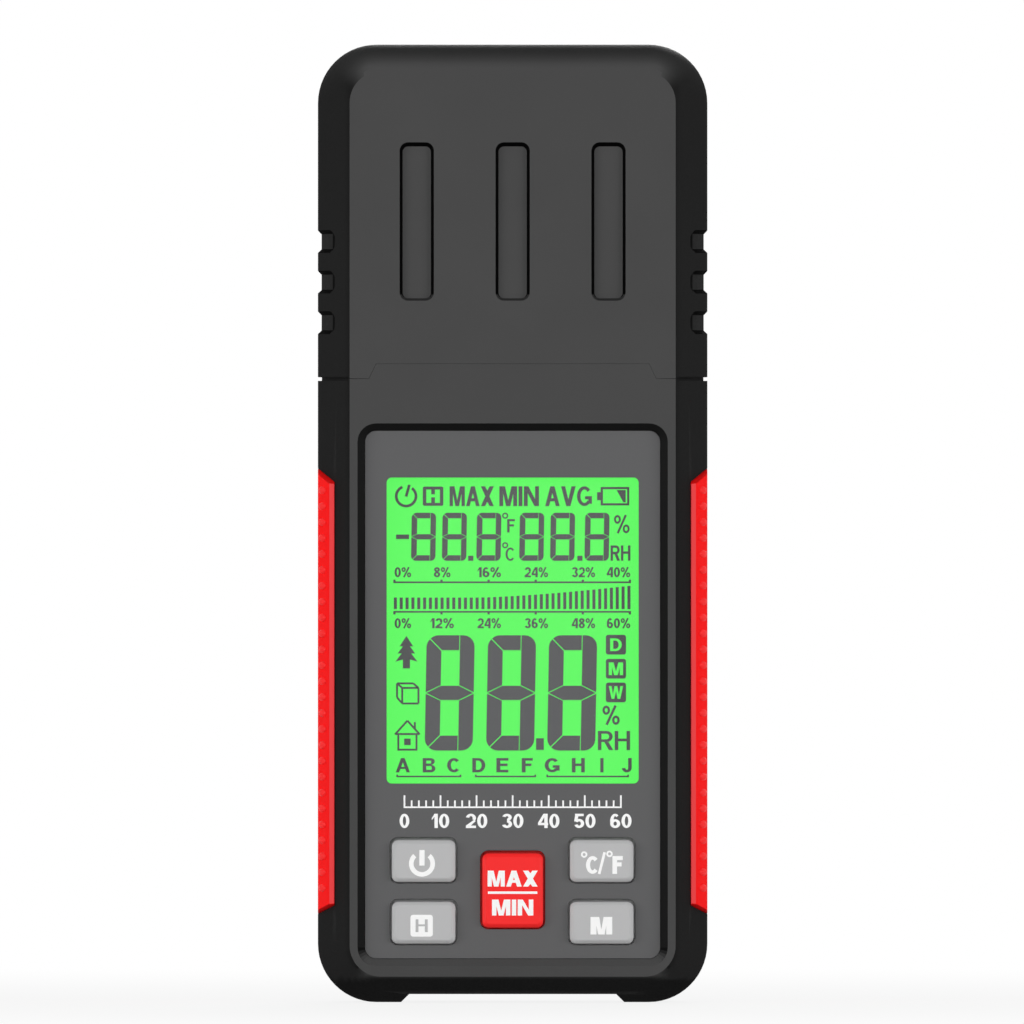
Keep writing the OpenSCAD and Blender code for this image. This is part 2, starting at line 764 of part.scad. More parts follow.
module buzzer() {
    color([0.07, 0.07, 0.07]) translate([0, 0, head_screw_z - 1]) difference() {
        rod_y(0, 0, y_board_back, y_board_back + 5, 12);
        rod_y(0, 0, y_board_back + 3, y_board_back + 6, 2);
    }
}

// ---------------------------------------------------------------- electrodes

block_h = 8;
flange_h = 1.5;
socket_low = z_head - 14;
block_low = z_head - head_top - flange_h - block_h;

module at_pins() {
    for (i = [-1, 1]) translate([i * pin_pitch / 2, 0, 0]) children();
}

module probe_block() {
    half_d = body_d / 2 - wall - cap_gap - head_wall - fit;
    color([0.85, 0.83, 0.78]) difference() {
        translate([0, 0, block_low]) linear_extrude(block_h) square([pin_pitch + 14, 2 * half_d], center = true);
        at_pins() translate([0, 0, block_low - 1]) cylinder(d = socket_d + 0.1, h = block_h + 2);
    }
}

bore_depth = 10;     // how far a pin goes into its socket

module pin_sockets() {
    color([0.85, 0.65, 0.3]) at_pins() difference() {
        union() {
            translate([0, 0, socket_low]) cylinder(d = socket_d, h = z_collar - socket_low);
            translate([0, 0, z_head - head_top - flange_h]) cylinder(d = socket_d + 2.5, h = flange_h);
        }
        translate([0, 0, z_collar - bore_depth]) cylinder(d = pin_d + 0.1, h = bore_depth + 1);
    }
}

module electrode(side) {
    tip = pin_d * 1.6;
    color([0.8, 0.8, 0.82]) translate([side * pin_pitch / 2, 0, 0]) {
        translate([0, 0, z_collar - bore_depth]) cylinder(d = pin_d, h = z_tip - tip - z_collar + bore_depth);
        translate([0, 0, z_tip - tip]) cylinder(d1 = pin_d, d2 = 0.3, h = tip);
    }
}

module pin_collars() {
    color([0.8, 0.8, 0.82]) at_pins() translate([0, 0, z_collar]) difference() {
        cylinder(d = collar_w / cos(30), h = collar_h, $fn = 6);
        translate([0, 0, -1]) cylinder(d = pin_d + 0.1, h = collar_h + 2);
    }
}

// ---- round wires and springs ----
function unit(v) = v / norm(v);
function tangent(p, i) = unit(p[min(i + 1, len(p) - 1)] - p[max(i - 1, 0)]);
function turned(v, t) = unit(v - (v * t) * t);
function sides(p, v, i = 0) = i == len(p) ? []
    : let (w = turned(v, tangent(p, i))) concat([w], sides(p, w, i + 1));
function bezier(a, b, c, d, u) = a * pow(1 - u, 3) + b * 3 * u * pow(1 - u, 2)
    + c * 3 * u * u * (1 - u) + d * pow(u, 3);

// A round wire of radius r along the points p, with n sides. v is any direction across its start.
module wire(p, r, v, n = 8) {
    w = sides(p, v);
    last = len(p) - 1;
    points = [for (i = [0:last], k = [0:n - 1])
        p[i] + r * (cos(360 * k / n) * w[i] + sin(360 * k / n) * cross(tangent(p, i), w[i]))];
    walls = [for (i = [0:last - 1], k = [0:n - 1])
        [i * n + k, (i + 1) * n + k, (i + 1) * n + (k + 1) % n, i * n + (k + 1) % n]];
    ends = [[for (k = [0:n - 1]) k], [for (k = [n - 1:-1:0]) last * n + k]];
    polyhedron(points, concat(walls, ends));
}

lead_r = 0.6;

// The leads run from the sockets down to the back of the board.
module probe_leads() {
    color([0.8, 0.1, 0.1]) for (i = [-1, 1]) {
        x = i * pin_pitch / 2;
        a = [x, 0, socket_low];
        b = a - [0, 0, 1];
        d = [x - i * 5, y_board_back, board_top - 3];
        c = d + [0, 1, 0];
        wire(concat([a], [for (u = [0:0.1:1]) bezier(b, b - [0, 0, 3], c + [0, 3, 0], c, u)], [d]),
            lead_r, [1, 0, 0]);
    }
}

// ---------------------------------------------------------------- batteries

button_h = 1;
button_d = 3.8;

// Puts a child at each cell. The middle cell stands on its head.
module at_cells() {
    for (i = [-1:1]) translate([i * cell_pitch, y_cell, (bay_low + bay_high) / 2])
        rotate([i == 0 ? 180 : 0, 0, 0]) children();
}

cell_base = -bay_len / 2 + contact_t + spring_len;

module battery_cells() {
    color([0.15, 0.35, 0.75]) at_cells() translate([0, 0, cell_base]) {
        cylinder(d = cell_d, h = cell_len - button_h);
        translate([0, 0, cell_len - button_h - e]) cylinder(d = button_d, h = button_h + e);
    }
}

spring_wire = 0.3;
spring_turns = 4;

module battery_springs() {
    low = -bay_len / 2 + contact_t + spring_wire;
    rise = spring_len - 2 * spring_wire;
    color([0.8, 0.8, 0.82]) at_cells() wire(
        [for (k = [0:12 * spring_turns]) let (a = 30 * k, u = k / (12 * spring_turns), r = mix(3.6, 2.2, u))
            [r * cos(a), r * sin(a), low + rise * u]],
        spring_wire, [0, 0, 1], 6);
}

module battery_contacts() {
    y0 = y_bay + bay_floor;
    y1 = y_cell + 3.5;
    x = cell_pitch;
    color([0.8, 0.8, 0.82]) {
        box([-x - 4, y0, bay_low], [4, y1, bay_low + contact_t]);
        box([x - 4, y0, bay_low], [x + 4, y1, bay_low + contact_t]);
        box([-x - 4, y0, bay_high - contact_t], [-x + 4, y1, bay_high]);
        box([-4, y0, bay_high - contact_t], [x + 4, y1, bay_high]);
        at_legs() box([-leg_w / 2, y_board_back, 0], [leg_w / 2, y0 + e, contact_t]);
    }
}

latch_w = 8;
latch_len = 9;

module battery_door() {
    color([0.18, 0.18, 0.18]) difference() {
        union() {
            box([-door_half, y_door, hinge_z], [door_half, y_back, door_top]);
            rod_x(hinge_y, hinge_z, -door_half, door_half, 2 * hinge_r);
            rod_x(hinge_y, hinge_z, -door_half - hinge_len, door_half + hinge_len, hinge_d);
        }
        box([-latch_w / 2 - 0.6, y_door - 1, door_top - latch_len - 0.01],
            [latch_w / 2 + 0.6, y_back + 1, door_top + 1]);
    }
}

// A springy finger in the door's upper edge. Its hook catches in the case.
module door_latch() {
    color([0.18, 0.18, 0.18]) {
        box([-latch_w / 2, y_door, door_top - latch_len], [latch_w / 2, y_back - 0.4, door_top - 0.1]);
        box([-latch_w / 2, y_door + 0.2, door_top - 0.2], [latch_w / 2, y_door + 1.1, door_top + 0.9]);
    }
}

// ---------------------------------------------------------------- the nodes

cap();
cap_seal();
front_case();
rear_case();
grip(-1);  // left_grip
grip(1);  // right_grip
face_panel();
display_lens();
display_gasket();
lcd_cell();
lcd_holder();
light_guide();
backlight_leds();
zebra_strips();
main_board();
board_chips();
keypad_sheet();
keypad_domes();
colored_key(KEYS[0]);  // power_key
colored_key(KEYS[1]);  // hold_key
colored_key(KEYS[2]);  // max_min_key
colored_key(KEYS[3]);  // unit_key
colored_key(KEYS[4]);  // mode_key
probe_block();
pin_sockets();
electrode(-1);  // left_electrode
electrode(1);  // right_electrode
pin_collars();
probe_leads();
humidity_sensor();
buzzer();
battery_cells();
battery_springs();
battery_contacts();
battery_door();
door_latch();
case_screws();
board_screws();
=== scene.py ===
import bpy
import bmesh
import math
from mathutils import Matrix, Vector


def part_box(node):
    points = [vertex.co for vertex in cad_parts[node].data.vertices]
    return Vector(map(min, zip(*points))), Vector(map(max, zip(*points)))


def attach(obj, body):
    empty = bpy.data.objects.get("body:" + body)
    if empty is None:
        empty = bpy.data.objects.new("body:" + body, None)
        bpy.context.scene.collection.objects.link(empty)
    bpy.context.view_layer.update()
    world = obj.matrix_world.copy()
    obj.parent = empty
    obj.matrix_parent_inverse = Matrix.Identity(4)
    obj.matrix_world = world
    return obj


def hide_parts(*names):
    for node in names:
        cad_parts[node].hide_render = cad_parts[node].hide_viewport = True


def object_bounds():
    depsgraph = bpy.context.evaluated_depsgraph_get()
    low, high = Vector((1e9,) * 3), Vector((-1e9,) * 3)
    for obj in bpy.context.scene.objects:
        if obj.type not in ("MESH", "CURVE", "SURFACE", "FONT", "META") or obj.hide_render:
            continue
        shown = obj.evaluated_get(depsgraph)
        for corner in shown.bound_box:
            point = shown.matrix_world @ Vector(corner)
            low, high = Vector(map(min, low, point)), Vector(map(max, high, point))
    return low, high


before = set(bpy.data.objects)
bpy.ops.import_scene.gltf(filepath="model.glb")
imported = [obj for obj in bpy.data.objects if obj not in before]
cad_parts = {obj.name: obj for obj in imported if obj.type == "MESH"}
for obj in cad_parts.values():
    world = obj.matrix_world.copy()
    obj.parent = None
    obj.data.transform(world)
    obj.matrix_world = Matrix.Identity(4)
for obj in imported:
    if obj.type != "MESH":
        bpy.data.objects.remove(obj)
CAD_BOX = [list(v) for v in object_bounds()]

# -------- sizes, in millimetres


def node_box(name):
    low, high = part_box(name)
    return low * 1000, high * 1000


LOW, HIGH = (Vector(v) * 1000 for v in CAD_BOX)
HALF_W = HIGH.x
TOP = HIGH.z
Y_FACE = LOW.y
Y_BACK = HIGH.y
SEAM = node_box("cap")[0].z - 0.1  # the case's upper edge; the cap starts 0.1 above it
HEAD_TOP = node_box("front_case")[1].z
PANEL_LOW, PANEL_HIGH = node_box("face_panel")
PANEL_LOW.z += 0.5  # the photo shows the panel ending a little higher than the CAD's
LENS_LOW, LENS_HIGH = node_box("display_lens")
KEY_NODES = ["power_key", "hold_key", "max_min_key", "unit_key", "mode_key"]

BEVEL_W, BEVEL_D = 4.7, 8.0  # the front bevel at the sides: across the front, and into the depth
BEVEL_LOW, BEVEL_TOP = 3.8, 4.2  # its height at the bottom, and at the rounded top
ROUND_W, ROUND_D = 4.0, 6.0  # the rounding of the back edges
CORNER_R, FACE_R = 9.0, 4.8  # corners of the outline, and of the flat front
WALL = 2.0
HEAD_INSET = 2.4  # how far the head under the cap lies inside the outer form
LENS_EDGE = 0.9  # how much of the window the panel hides all round
RIM_W = 1.15  # the sunk rim round the panel
POCKET_PITCH = 14.75
FIELD_SUNK = 0.3  # how deep the dotted field in each grip's side lies
INK_DEPTH = 0.03  # how far the prints stand out
VIEW_LOW = Vector((LENS_LOW.x + LENS_EDGE, 0, LENS_LOW.z + LENS_EDGE))
VIEW_HIGH = Vector((LENS_HIGH.x - LENS_EDGE, 0, LENS_HIGH.z - LENS_EDGE))

# -------- mesh tools, in millimetres

REACH_X, REACH_Y = 40, 20  # half the width and depth of cutting blocks, more than the object's


def add(name, mesh):
    obj = bpy.data.objects.new(name, mesh)
    bpy.context.scene.collection.objects.link(obj)
    return obj


def make(name, verts, faces):
    """A mesh with doubles merged and its normals facing out."""
    mesh = bpy.data.meshes.new(name)
    mesh.from_pydata([tuple(v) for v in verts], [], faces)
    bm = bmesh.new()
    bm.from_mesh(mesh)
    bmesh.ops.remove_doubles(bm, verts=bm.verts, dist=1e-5)
    bmesh.ops.recalc_face_normals(bm, faces=bm.faces)
    bm.to_mesh(mesh)
    bm.free()
    return add(name, mesh)


def loft(name, rings):
    """Joins closed rings of equally many points, with a flat face at each end."""
    n = len(rings[0])
    verts = [p for ring in rings for p in ring]
    faces = [list(range(n)), [(len(rings) - 1) * n + k for k in reversed(range(n))]]
    for i in range(len(rings) - 1):
        for k in range(n):
            m = (k + 1) % n
            faces.append([i * n + k, (i + 1) * n + k, (i + 1) * n + m, i * n + m])
    return make(name, verts, faces)


def rounded(half_w, low, high, r, n=10, x=0.0):
    """A rounded rectangle in X and Z."""
    corners = [(half_w - r, low + r, -90), (half_w - r, high - r, 0),
               (r - half_w, high - r, 90), (r - half_w, low + r, 180)]
    return [(x + cx + r * math.cos(math.radians(a + 90 * i / n)),
             cz + r * math.sin(math.radians(a + 90 * i / n))) for cx, cz, a in corners for i in range(n + 1)]


def at_y(points, y):
    return [(x, y, z) for x, z in points]


def plate(name, points, y0, y1):
    """A flat piece: an outline in X and Z between two depths."""
    return loft(name, [at_y(points, y0), at_y(points, y1)])


def along_x(name, points, x0, x1):
    """An outline in Y and Z between two widths."""
    return loft(name, [[(x, y, z) for y, z in points] for x in (x0, x1)])


def block(name, a, b):
    return plate(name, [(a[0], a[2]), (b[0], a[2]), (b[0], b[2]), (a[0], b[2])], a[1], b[1])


def joined(name, objs):
    """Puts several meshes into one."""
    bm = bmesh.new()
    for o in objs:
        bm.from_mesh(o.data)
        drop(o)
    mesh = bpy.data.meshes.new(name)
    bm.to_mesh(mesh)
    bm.free()
    return add(name, mesh)


def drop(obj):
    mesh = obj.data
    bpy.data.objects.remove(obj)
    if mesh.users == 0:
        bpy.data.meshes.remove(mesh)


def apply_modifiers(obj):
    graph = bpy.context.evaluated_depsgraph_get()
    mesh = bpy.data.meshes.new_from_object(obj.evaluated_get(graph))
    old = obj.data
    obj.modifiers.clear()
    obj.data = mesh
    if old.users == 0:
        bpy.data.meshes.remove(old)
    return obj


def boolean(obj, cutter, operation):
    m = obj.modifiers.new("boolean", "BOOLEAN")
    m.operation = operation
    m.object = cutter
    m.solver = "EXACT"
    apply_modifiers(obj)
    drop(cutter)
    return obj


def cut(obj, *cutters):
    for c in cutters:
        boolean(obj, c, "DIFFERENCE")
    return obj


def layer_block(name, z0, z1, back=REACH_Y):
    """A block wider than the object, between two heights, which ends at a depth."""
    return block(name, (-REACH_X, -REACH_Y, z0), (REACH_X, back, z1))


def keep(obj, z0, z1, back=REACH_Y):
    """Keeps what lies between two heights, in front of a depth."""
    return boolean(obj, layer_block("keep", z0, z1, back), "INTERSECT")


def soften(obj, width, segments=2, angle=35):
    m = obj.modifiers.new("bevel", "BEVEL")
    m.width = width
    m.segments = segments
    m.limit_method = "ANGLE"
    m.angle_limit = math.radians(angle)
    m.harden_normals = False
    return apply_modifiers(obj)


def smooth(mesh, angle=32):
    mesh.polygons.foreach_set("use_smooth", [True] * len(mesh.polygons))
    mesh.set_sharp_from_angle(angle=math.radians(angle))


def flatten(obj):
    """Lets large flat faces set the normals at their edges, so they shade flat."""
    m = obj.modifiers.new("normals", "WEIGHTED_NORMAL")
    m.keep_sharp = True
    m.weight = 100


def place(obj, body, replaced=None, angle=32, materials=()):
    """Scales a finished piece to metres and hangs it on its CAD body, in place of any CAD node named."""
    obj.data.transform(Matrix.Scale(0.001, 4))
    smooth(obj.data, angle)
    flatten(obj)
    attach(obj, body)
    if replaced:
        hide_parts(replaced)
    for m in materials:
        obj.data.materials.append(m)
    return obj


# -------- materials

GRAIN = 2600.0  # the moulding grain's noise scale, depth in metres and strength
GRAIN_DEPTH = 0.00002
GRAIN_STRENGTH = 0.25


def node(tree, kind, inputs=(), **settings):
    """A shader node. Each input gets a value, or a link from another node's output."""
    n = tree.nodes.new("ShaderNode" + kind)
    for key, value in settings.items():
        setattr(n, key, value)
    for key, value in dict(inputs).items():
        if isinstance(value, bpy.types.NodeSocket):
            tree.links.new(value, n.inputs[key])
        else:
            n.inputs[key].default_value = value
    return n


def principled(name, color, roughness=0.5, metallic=0.0, specular=0.5, alpha=1.0):
    m = bpy.data.materials.new(name)
    m.use_nodes = True
    s = m.node_tree.nodes["Principled BSDF"]
    for key, value in (("Base Color", (*color, 1)), ("Roughness", roughness), ("Metallic", metallic),
                       ("Specular IOR Level", specular), ("Alpha", alpha)):
        s.inputs[key].default_value = value
    return m, m.node_tree, s


def noise(tree, scale, detail=3.0, roughness=0.5):
    at = node(tree, "TexCoord").outputs["Object"]
    return node(tree, "TexNoise", {"Vector": at, "Scale": scale, "Detail": detail,
                                   "Roughness": roughness}).outputs["Fac"]


def spread(tree, source, low, high):
    """Maps a texture's middle range to the range from low to high."""
    return node(tree, "MapRange", {"Value": source, "From Min": 0.3, "From Max": 0.7, "To Min": low,
                                   "To Max": high}).outputs["Result"]


def mixed(tree, factor, a, b):
    """Passes from colour a to colour b with a factor. Each is a value or another node's output."""
    a, b = (c if isinstance(c, bpy.types.NodeSocket) else (*c, 1) for c in (a, b))
    return node(tree, "Mix", {"Factor": factor, "A": a, "B": b}, data_type="RGBA").outputs["Result"]


def varied(tree, source, color, amount):
    """A colour that a texture varies a little."""
    return mixed(tree, spread(tree, source, 0.0, 1.0), [c * (1 - amount) for c in color],
                 [min(1.0, c * (1 + amount)) for c in color])


def tint(tree, source, shader, color, amount, socket="Base Color"):
    tree.links.new(varied(tree, source, color, amount), shader.inputs[socket])


def relief(tree, source, shader, strength, depth):
    bump = node(tree, "Bump", {"Height": source, "Strength": strength, "Distance": depth})
    tree.links.new(bump.outputs["Normal"], shader.inputs["Normal"])


def moulded(name, color, roughness=0.5, grain=GRAIN, vary=0.05, specular=0.5):
    """Moulded plastic or rubber: a fine spark-eroded grain, slow changes of colour and gloss."""
    m, tree, s = principled(name, color, roughness, specular=specular)
    slow = noise(tree, 45.0, 2.0)
    tint(tree, slow, s, color, vary)
    tree.links.new(spread(tree, slow, roughness - 0.05, roughness + 0.05), s.inputs["Roughness"])
    relief(tree, noise(tree, grain, 2.0), s, GRAIN_STRENGTH, GRAIN_DEPTH)
    return m


def metal(name, color, roughness=0.3, scale=900.0):
    """Plated or turned metal with fine handling marks."""
    m, tree, s = principled(name, color, roughness, metallic=1.0)
    marks = noise(tree, scale, 4.0, 0.6)
    tint(tree, marks, s, color, 0.08)
    tree.links.new(spread(tree, marks, roughness - 0.04, roughness + 0.07), s.inputs["Roughness"])
    relief(tree, marks, s, 0.15, 0.000015)
    return m


def lit(name, color, strength, vary=0.02):
    """A surface lit from behind, with a very slightly uneven glow."""
    m, tree, s = principled(name, (0.01, 0.02, 0.01), 0.6, specular=0.1)
    tint(tree, noise(tree, 30.0, 1.0), s, color, vary, "Emission Color")
    s.inputs["Emission Strength"].default_value = strength
    return m


def srgb(r, g, b):
    """A screen colour, 0 to 255, as the linear colour that shaders take."""
    return tuple(c / 255 / 12.92 if c / 255 <= 0.04045 else ((c / 255 + 0.055) / 1.055) ** 2.4
                 for c in (r, g, b))


def shell_material():
    """The shell's grey front passes into near-black painted shade on its sides, top edge and underside, and
    less on its back, where the mesh attribute says so.
    """
    front, side = srgb(75, 75, 75), srgb(5, 5, 5)
    m, tree, s = principled("shell_plastic", front, 0.6, specular=0.02)
    tone = node(tree, "Attribute", attribute_name="painted_side_shade").outputs["Fac"]
    slow = noise(tree, 60.0, 2.0)
    colours = [varied(tree, slow, color, 0.03) for color in (front, side)]
    tree.links.new(mixed(tree, tone, *colours), s.inputs["Base Color"])
    fine = noise(tree, GRAIN, 2.0)
    relief(tree, fine, s, GRAIN_STRENGTH, GRAIN_DEPTH)
    tree.links.new(spread(tree, fine, 0.55, 0.65), s.inputs["Roughness"])
    return m


SHELL = shell_material()
REAR = moulded("rear_plastic", srgb(44, 44, 44), 0.6, specular=0.06)
PANEL = moulded("panel_plastic", srgb(95, 95, 96), 0.55, vary=0.012, specular=0.12)
# near-black painted shade for the walls of the sunk rim round the panel
RIM_SHADE = moulded("rim_painted_shade", srgb(17, 17, 17), 0.65, specular=0.06)
# black painted shade for the walls of the cap's pockets and notches and of the key holes
GROOVE_SHADE = moulded("groove_painted_shade", srgb(4, 4, 4), 0.8, specular=0.015)
GRIP = moulded("grip_rubber", srgb(255, 16, 17), 0.6, grain=3500.0, vary=0.02, specular=0.1)
# a lighter red for the grip's domes, a painted highlight
GRIP_DOT_HIGHLIGHT = moulded("grip_dot_painted_highlight", srgb(255, 34, 35), 0.5, grain=3500.0, vary=0.02, specular=0.2)
# a lighter red for the grip's front-facing edge, a painted highlight
GRIP_EDGE_HIGHLIGHT = moulded("grip_edge_painted_highlight", srgb(255, 70, 73), 0.55, grain=3500.0, vary=0.02, specular=0.15)
KEY = moulded("key_plastic", srgb(187, 187, 188), 0.5, vary=0.01, specular=0.25)
RED_KEY = moulded("red_key_plastic", srgb(255, 42, 42), 0.5, vary=0.01, specular=0.15)
INK = moulded("white_ink", srgb(254, 254, 254), 0.55, vary=0.003, specular=0.5)
DARK_INK = moulded("lcd_ink", srgb(90, 84, 92), 0.6, vary=0.01, specular=0.1)
GLOW = lit("lcd_glow", srgb(88, 248, 91), 1.0)
SEAL = moulded("seal_rubber", (0.012, 0.012, 0.012), 0.45, grain=1800.0)
WHITE = moulded("white_plastic", (0.72, 0.72, 0.68), 0.4)
GUIDE = moulded("guide_plastic", (0.6, 0.85, 0.62), 0.25)
LED = moulded("led_plastic", (0.9, 0.85, 0.45), 0.2)
STRIP = moulded("strip_rubber", (0.55, 0.28, 0.33), 0.5)
CHIP = moulded("chip_resin", (0.012, 0.012, 0.013), 0.5, grain=4000.0)
SILICONE = moulded("silicone_rubber", (0.33, 0.33, 0.33), 0.5)
BLOCK = moulded("insulator_plastic", (0.62, 0.58, 0.48), 0.4)
LEAD = moulded("lead_jacket", (0.45, 0.012, 0.012), 0.35)
STEEL = metal("plated_steel", (0.45, 0.45, 0.46), 0.3, 2400.0)
BRASS = metal("turned_brass", (0.62, 0.43, 0.16), 0.3)


def board_material():
    """Green solder mask over copper traces, which a brick texture's grid of lines stands for."""
    color = (0.012, 0.13, 0.045)
    m, tree, s = principled("solder_mask", color, 0.3)
    at = node(tree, "Mapping", {"Vector": node(tree, "TexCoord").outputs["Object"],
                                "Rotation": (math.radians(90), 0, 0)}).outputs["Vector"]
    traces = node(tree, "TexBrick", {"Vector": at, "Scale": 120.0, "Mortar Size": 0.04, "Color1": (*color, 1),
                                     "Color2": (0.010, 0.11, 0.04, 1), "Mortar": (0.03, 0.24, 0.08, 1)})
    tree.links.new(traces.outputs["Color"], s.inputs["Base Color"])
    relief(tree, traces.outputs["Fac"], s, 0.2, 0.00003)
    return m


def cell_material():
    """A shrink-wrapped cell: a plain wrapper with a lighter band at one end, and slight wrinkles."""
    wrapper, end_band = (0.03, 0.09, 0.35), (0.55, 0.56, 0.58)
    m, tree, s = principled("cell_wrapper", wrapper, 0.25)
    split = node(tree, "SeparateXYZ", {"Vector": node(tree, "TexCoord").outputs["Object"]})
    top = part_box("battery_cells")[1].z
    share = node(tree, "MapRange", {"Value": split.outputs["Z"], "From Min": top - 0.0205,
                                    "From Max": top - 0.02}).outputs["Result"]
    tree.links.new(mixed(tree, share, wrapper, end_band), s.inputs["Base Color"])
    relief(tree, noise(tree, 400.0), s, 0.15, 0.00003)
    return m


def glass_material():
    """A nearly clear window with a faint haze."""
    m, tree, s = principled("window_clear", (0.5, 0.7, 0.52), 0.12, specular=0.2, alpha=0.03)
    tree.links.new(spread(tree, noise(tree, 600.0, 2.0), 0.08, 0.16), s.inputs["Roughness"])
    return m


BOARD = board_material()
CELL = cell_material()
GLASS = glass_material()

CARRIED = {
    "cap_seal": SEAL, "rear_case": REAR, "display_lens": GLASS, "display_gasket": SEAL,
    "lcd_cell": GLOW, "lcd_holder": WHITE, "light_guide": GUIDE, "backlight_leds": LED,
    "zebra_strips": STRIP, "main_board": BOARD, "board_chips": CHIP, "keypad_sheet": SILICONE,
    "keypad_domes": SILICONE, "probe_block": BLOCK, "pin_sockets": BRASS, "left_electrode": STEEL,
    "right_electrode": STEEL, "pin_collars": STEEL, "probe_leads": LEAD, "humidity_sensor": WHITE,
    "buzzer": CHIP, "battery_cells": CELL, "battery_springs": STEEL, "battery_contacts": STEEL,
    "battery_door": REAR, "door_latch": REAR, "case_screws": STEEL, "board_screws": STEEL,
}
for name, material in CARRIED.items():
    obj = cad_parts[name]
    obj.data.materials.clear()
    obj.data.materials.append(material)
    smooth(obj.data, 28)
    if name in ("rear_case", "battery_door", "door_latch"):  # their edges show, so they get a small bevel
        weld = obj.modifiers.new("weld", "WELD")
        weld.merge_threshold = 1e-6
        edge = obj.modifiers.new("edge", "BEVEL")
        edge.width = 0.00015
        edge.segments = 2
        edge.limit_method = "ANGLE"
        edge.angle_limit = math.radians(40)
    flatten(obj)

# -------- the outer form


def arc(u):
    """How far a quarter-round edge is still set in, 1 to 0, as its depth goes from 0 to 1."""
    return 1 - math.sqrt(max(0.0, 1 - (1 - u) ** 2))


def form(t=0.0, n=14):
    """The rings of the whole outer form, front to back, taken in by t."""
    move_face = t * (math.hypot(BEVEL_W, BEVEL_D) - BEVEL_W) / BEVEL_D
    move_low = t * (math.hypot(BEVEL_LOW, BEVEL_D) - BEVEL_LOW) / BEVEL_D
    move_side = t * (math.hypot(BEVEL_W, BEVEL_D) - BEVEL_D) / BEVEL_W
    y1, y2 = Y_FACE + t, Y_FACE + BEVEL_D + move_side
    y3, y4 = Y_BACK - ROUND_D, Y_BACK - t
    half_1, half_2 = HALF_W - BEVEL_W - move_face, HALF_W - t
    low_1, low_2 = BEVEL_LOW + move_low, t
    r1, r2 = max(FACE_R - t, 1), max(CORNER_R - t, 1)
    top = TOP - t
    rings = []
    fillet = 0.22 if t == 0 else 0.0
    for a in (0, 8, 16, 24, 32, 42, 52, 62, 72, 81, 88):
        u = 1 - math.cos(math.radians(a))
        f = fillet * max(0.0, 1 - a / 20)
        half = half_1 + (half_2 - half_1) * u - f
        low = low_1 + (low_2 - low_1) * u + f
        rings.append(at_y(rounded(half, low, top - BEVEL_TOP * arc(u), r1 + (r2 - r1) * u, n),
                          y1 + (y2 - y1) * u))
    rings.append(at_y(rounded(half_2 - 0.03, low_2 + 0.03, top, r2, n), y2))
    rings.append(at_y(rounded(half_2, low_2, top, r2, n), y2 + 0.35))
    rings.append(at_y(rounded(half_2, low_2, top, r2, n), y3))
    for a in (80, 68, 56, 44, 33, 22, 11, 0):
        u = 1 - math.cos(math.radians(a))
        r = max(r2 - 3, 1)
        rings.append(at_y(rounded(half_2 - ROUND_W * arc(u), low_2 + 3 * arc(u), top - 3.5 * arc(u),
                                  r + (r2 - r) * u, n), y4 + (y3 - y4) * u))
    return rings


def solid_form(name, t=0.0):
    return loft(name, form(t))


def groove_cutter():
    """The groove round the seam. It stops at the flat front face."""
    depth = 0.6
    ring = layer_block("groove", SEAM - depth / 2, SEAM + depth / 2)
    cut(ring, solid_form("groove_core", depth))
    return cut(ring, block("groove_front", (-HALF_W + BEVEL_W, Y_FACE - 9, SEAM - 1),
                           (HALF_W - BEVEL_W, Y_FACE + 1.5, SEAM + 1)))


def tongue(grow, y1):
    """The low tongue by which the case's front reaches up into the cap's."""
    low = 22.1 + grow
    high = low - 1.1
    z = SEAM + 2.3 + grow
    return plate("tongue", [(-low, SEAM - 0.3), (low, SEAM - 0.3), (low, SEAM), (high, z), (-high, z),
                            (-low, SEAM)], Y_FACE - (1 if grow else 0), y1)


# -------- cap

POCKET_Z = SEAM + 24.2
cap = keep(solid_form("cap_shell"), SEAM + 0.02, TOP + 5)
cut(cap, keep(solid_form("cap_core", WALL), SEAM - 5, TOP - 2.5))
# width, height, radius, how far below the middle, and depth
POCKET_RINGS = ((5.9, 25.0, 1.6, 0.0, -0.4), (5.3, 24.4, 1.3, 0.0, 0.0), (4.6, 23.6, 0.95, 0.13, 0.55),
                (4.35, 23.35, 0.85, 0.13, 0.62))
for i in (-1, 0, 1):
    cut(cap, loft("pocket", [at_y(rounded(w / 2, POCKET_Z - h / 2 - low, POCKET_Z + h / 2 - low, r, 6,
                                          i * POCKET_PITCH), Y_FACE + y) for w, h, r, low, y in POCKET_RINGS]))
NOTCH_Z = (SEAM + 21.15, SEAM + 14.9, SEAM + 8.65)
NOTCH_HALF, NOTCH_FLARE = 1.2, 1.1  # half the height at the floor, and how much wider it opens
notches = []
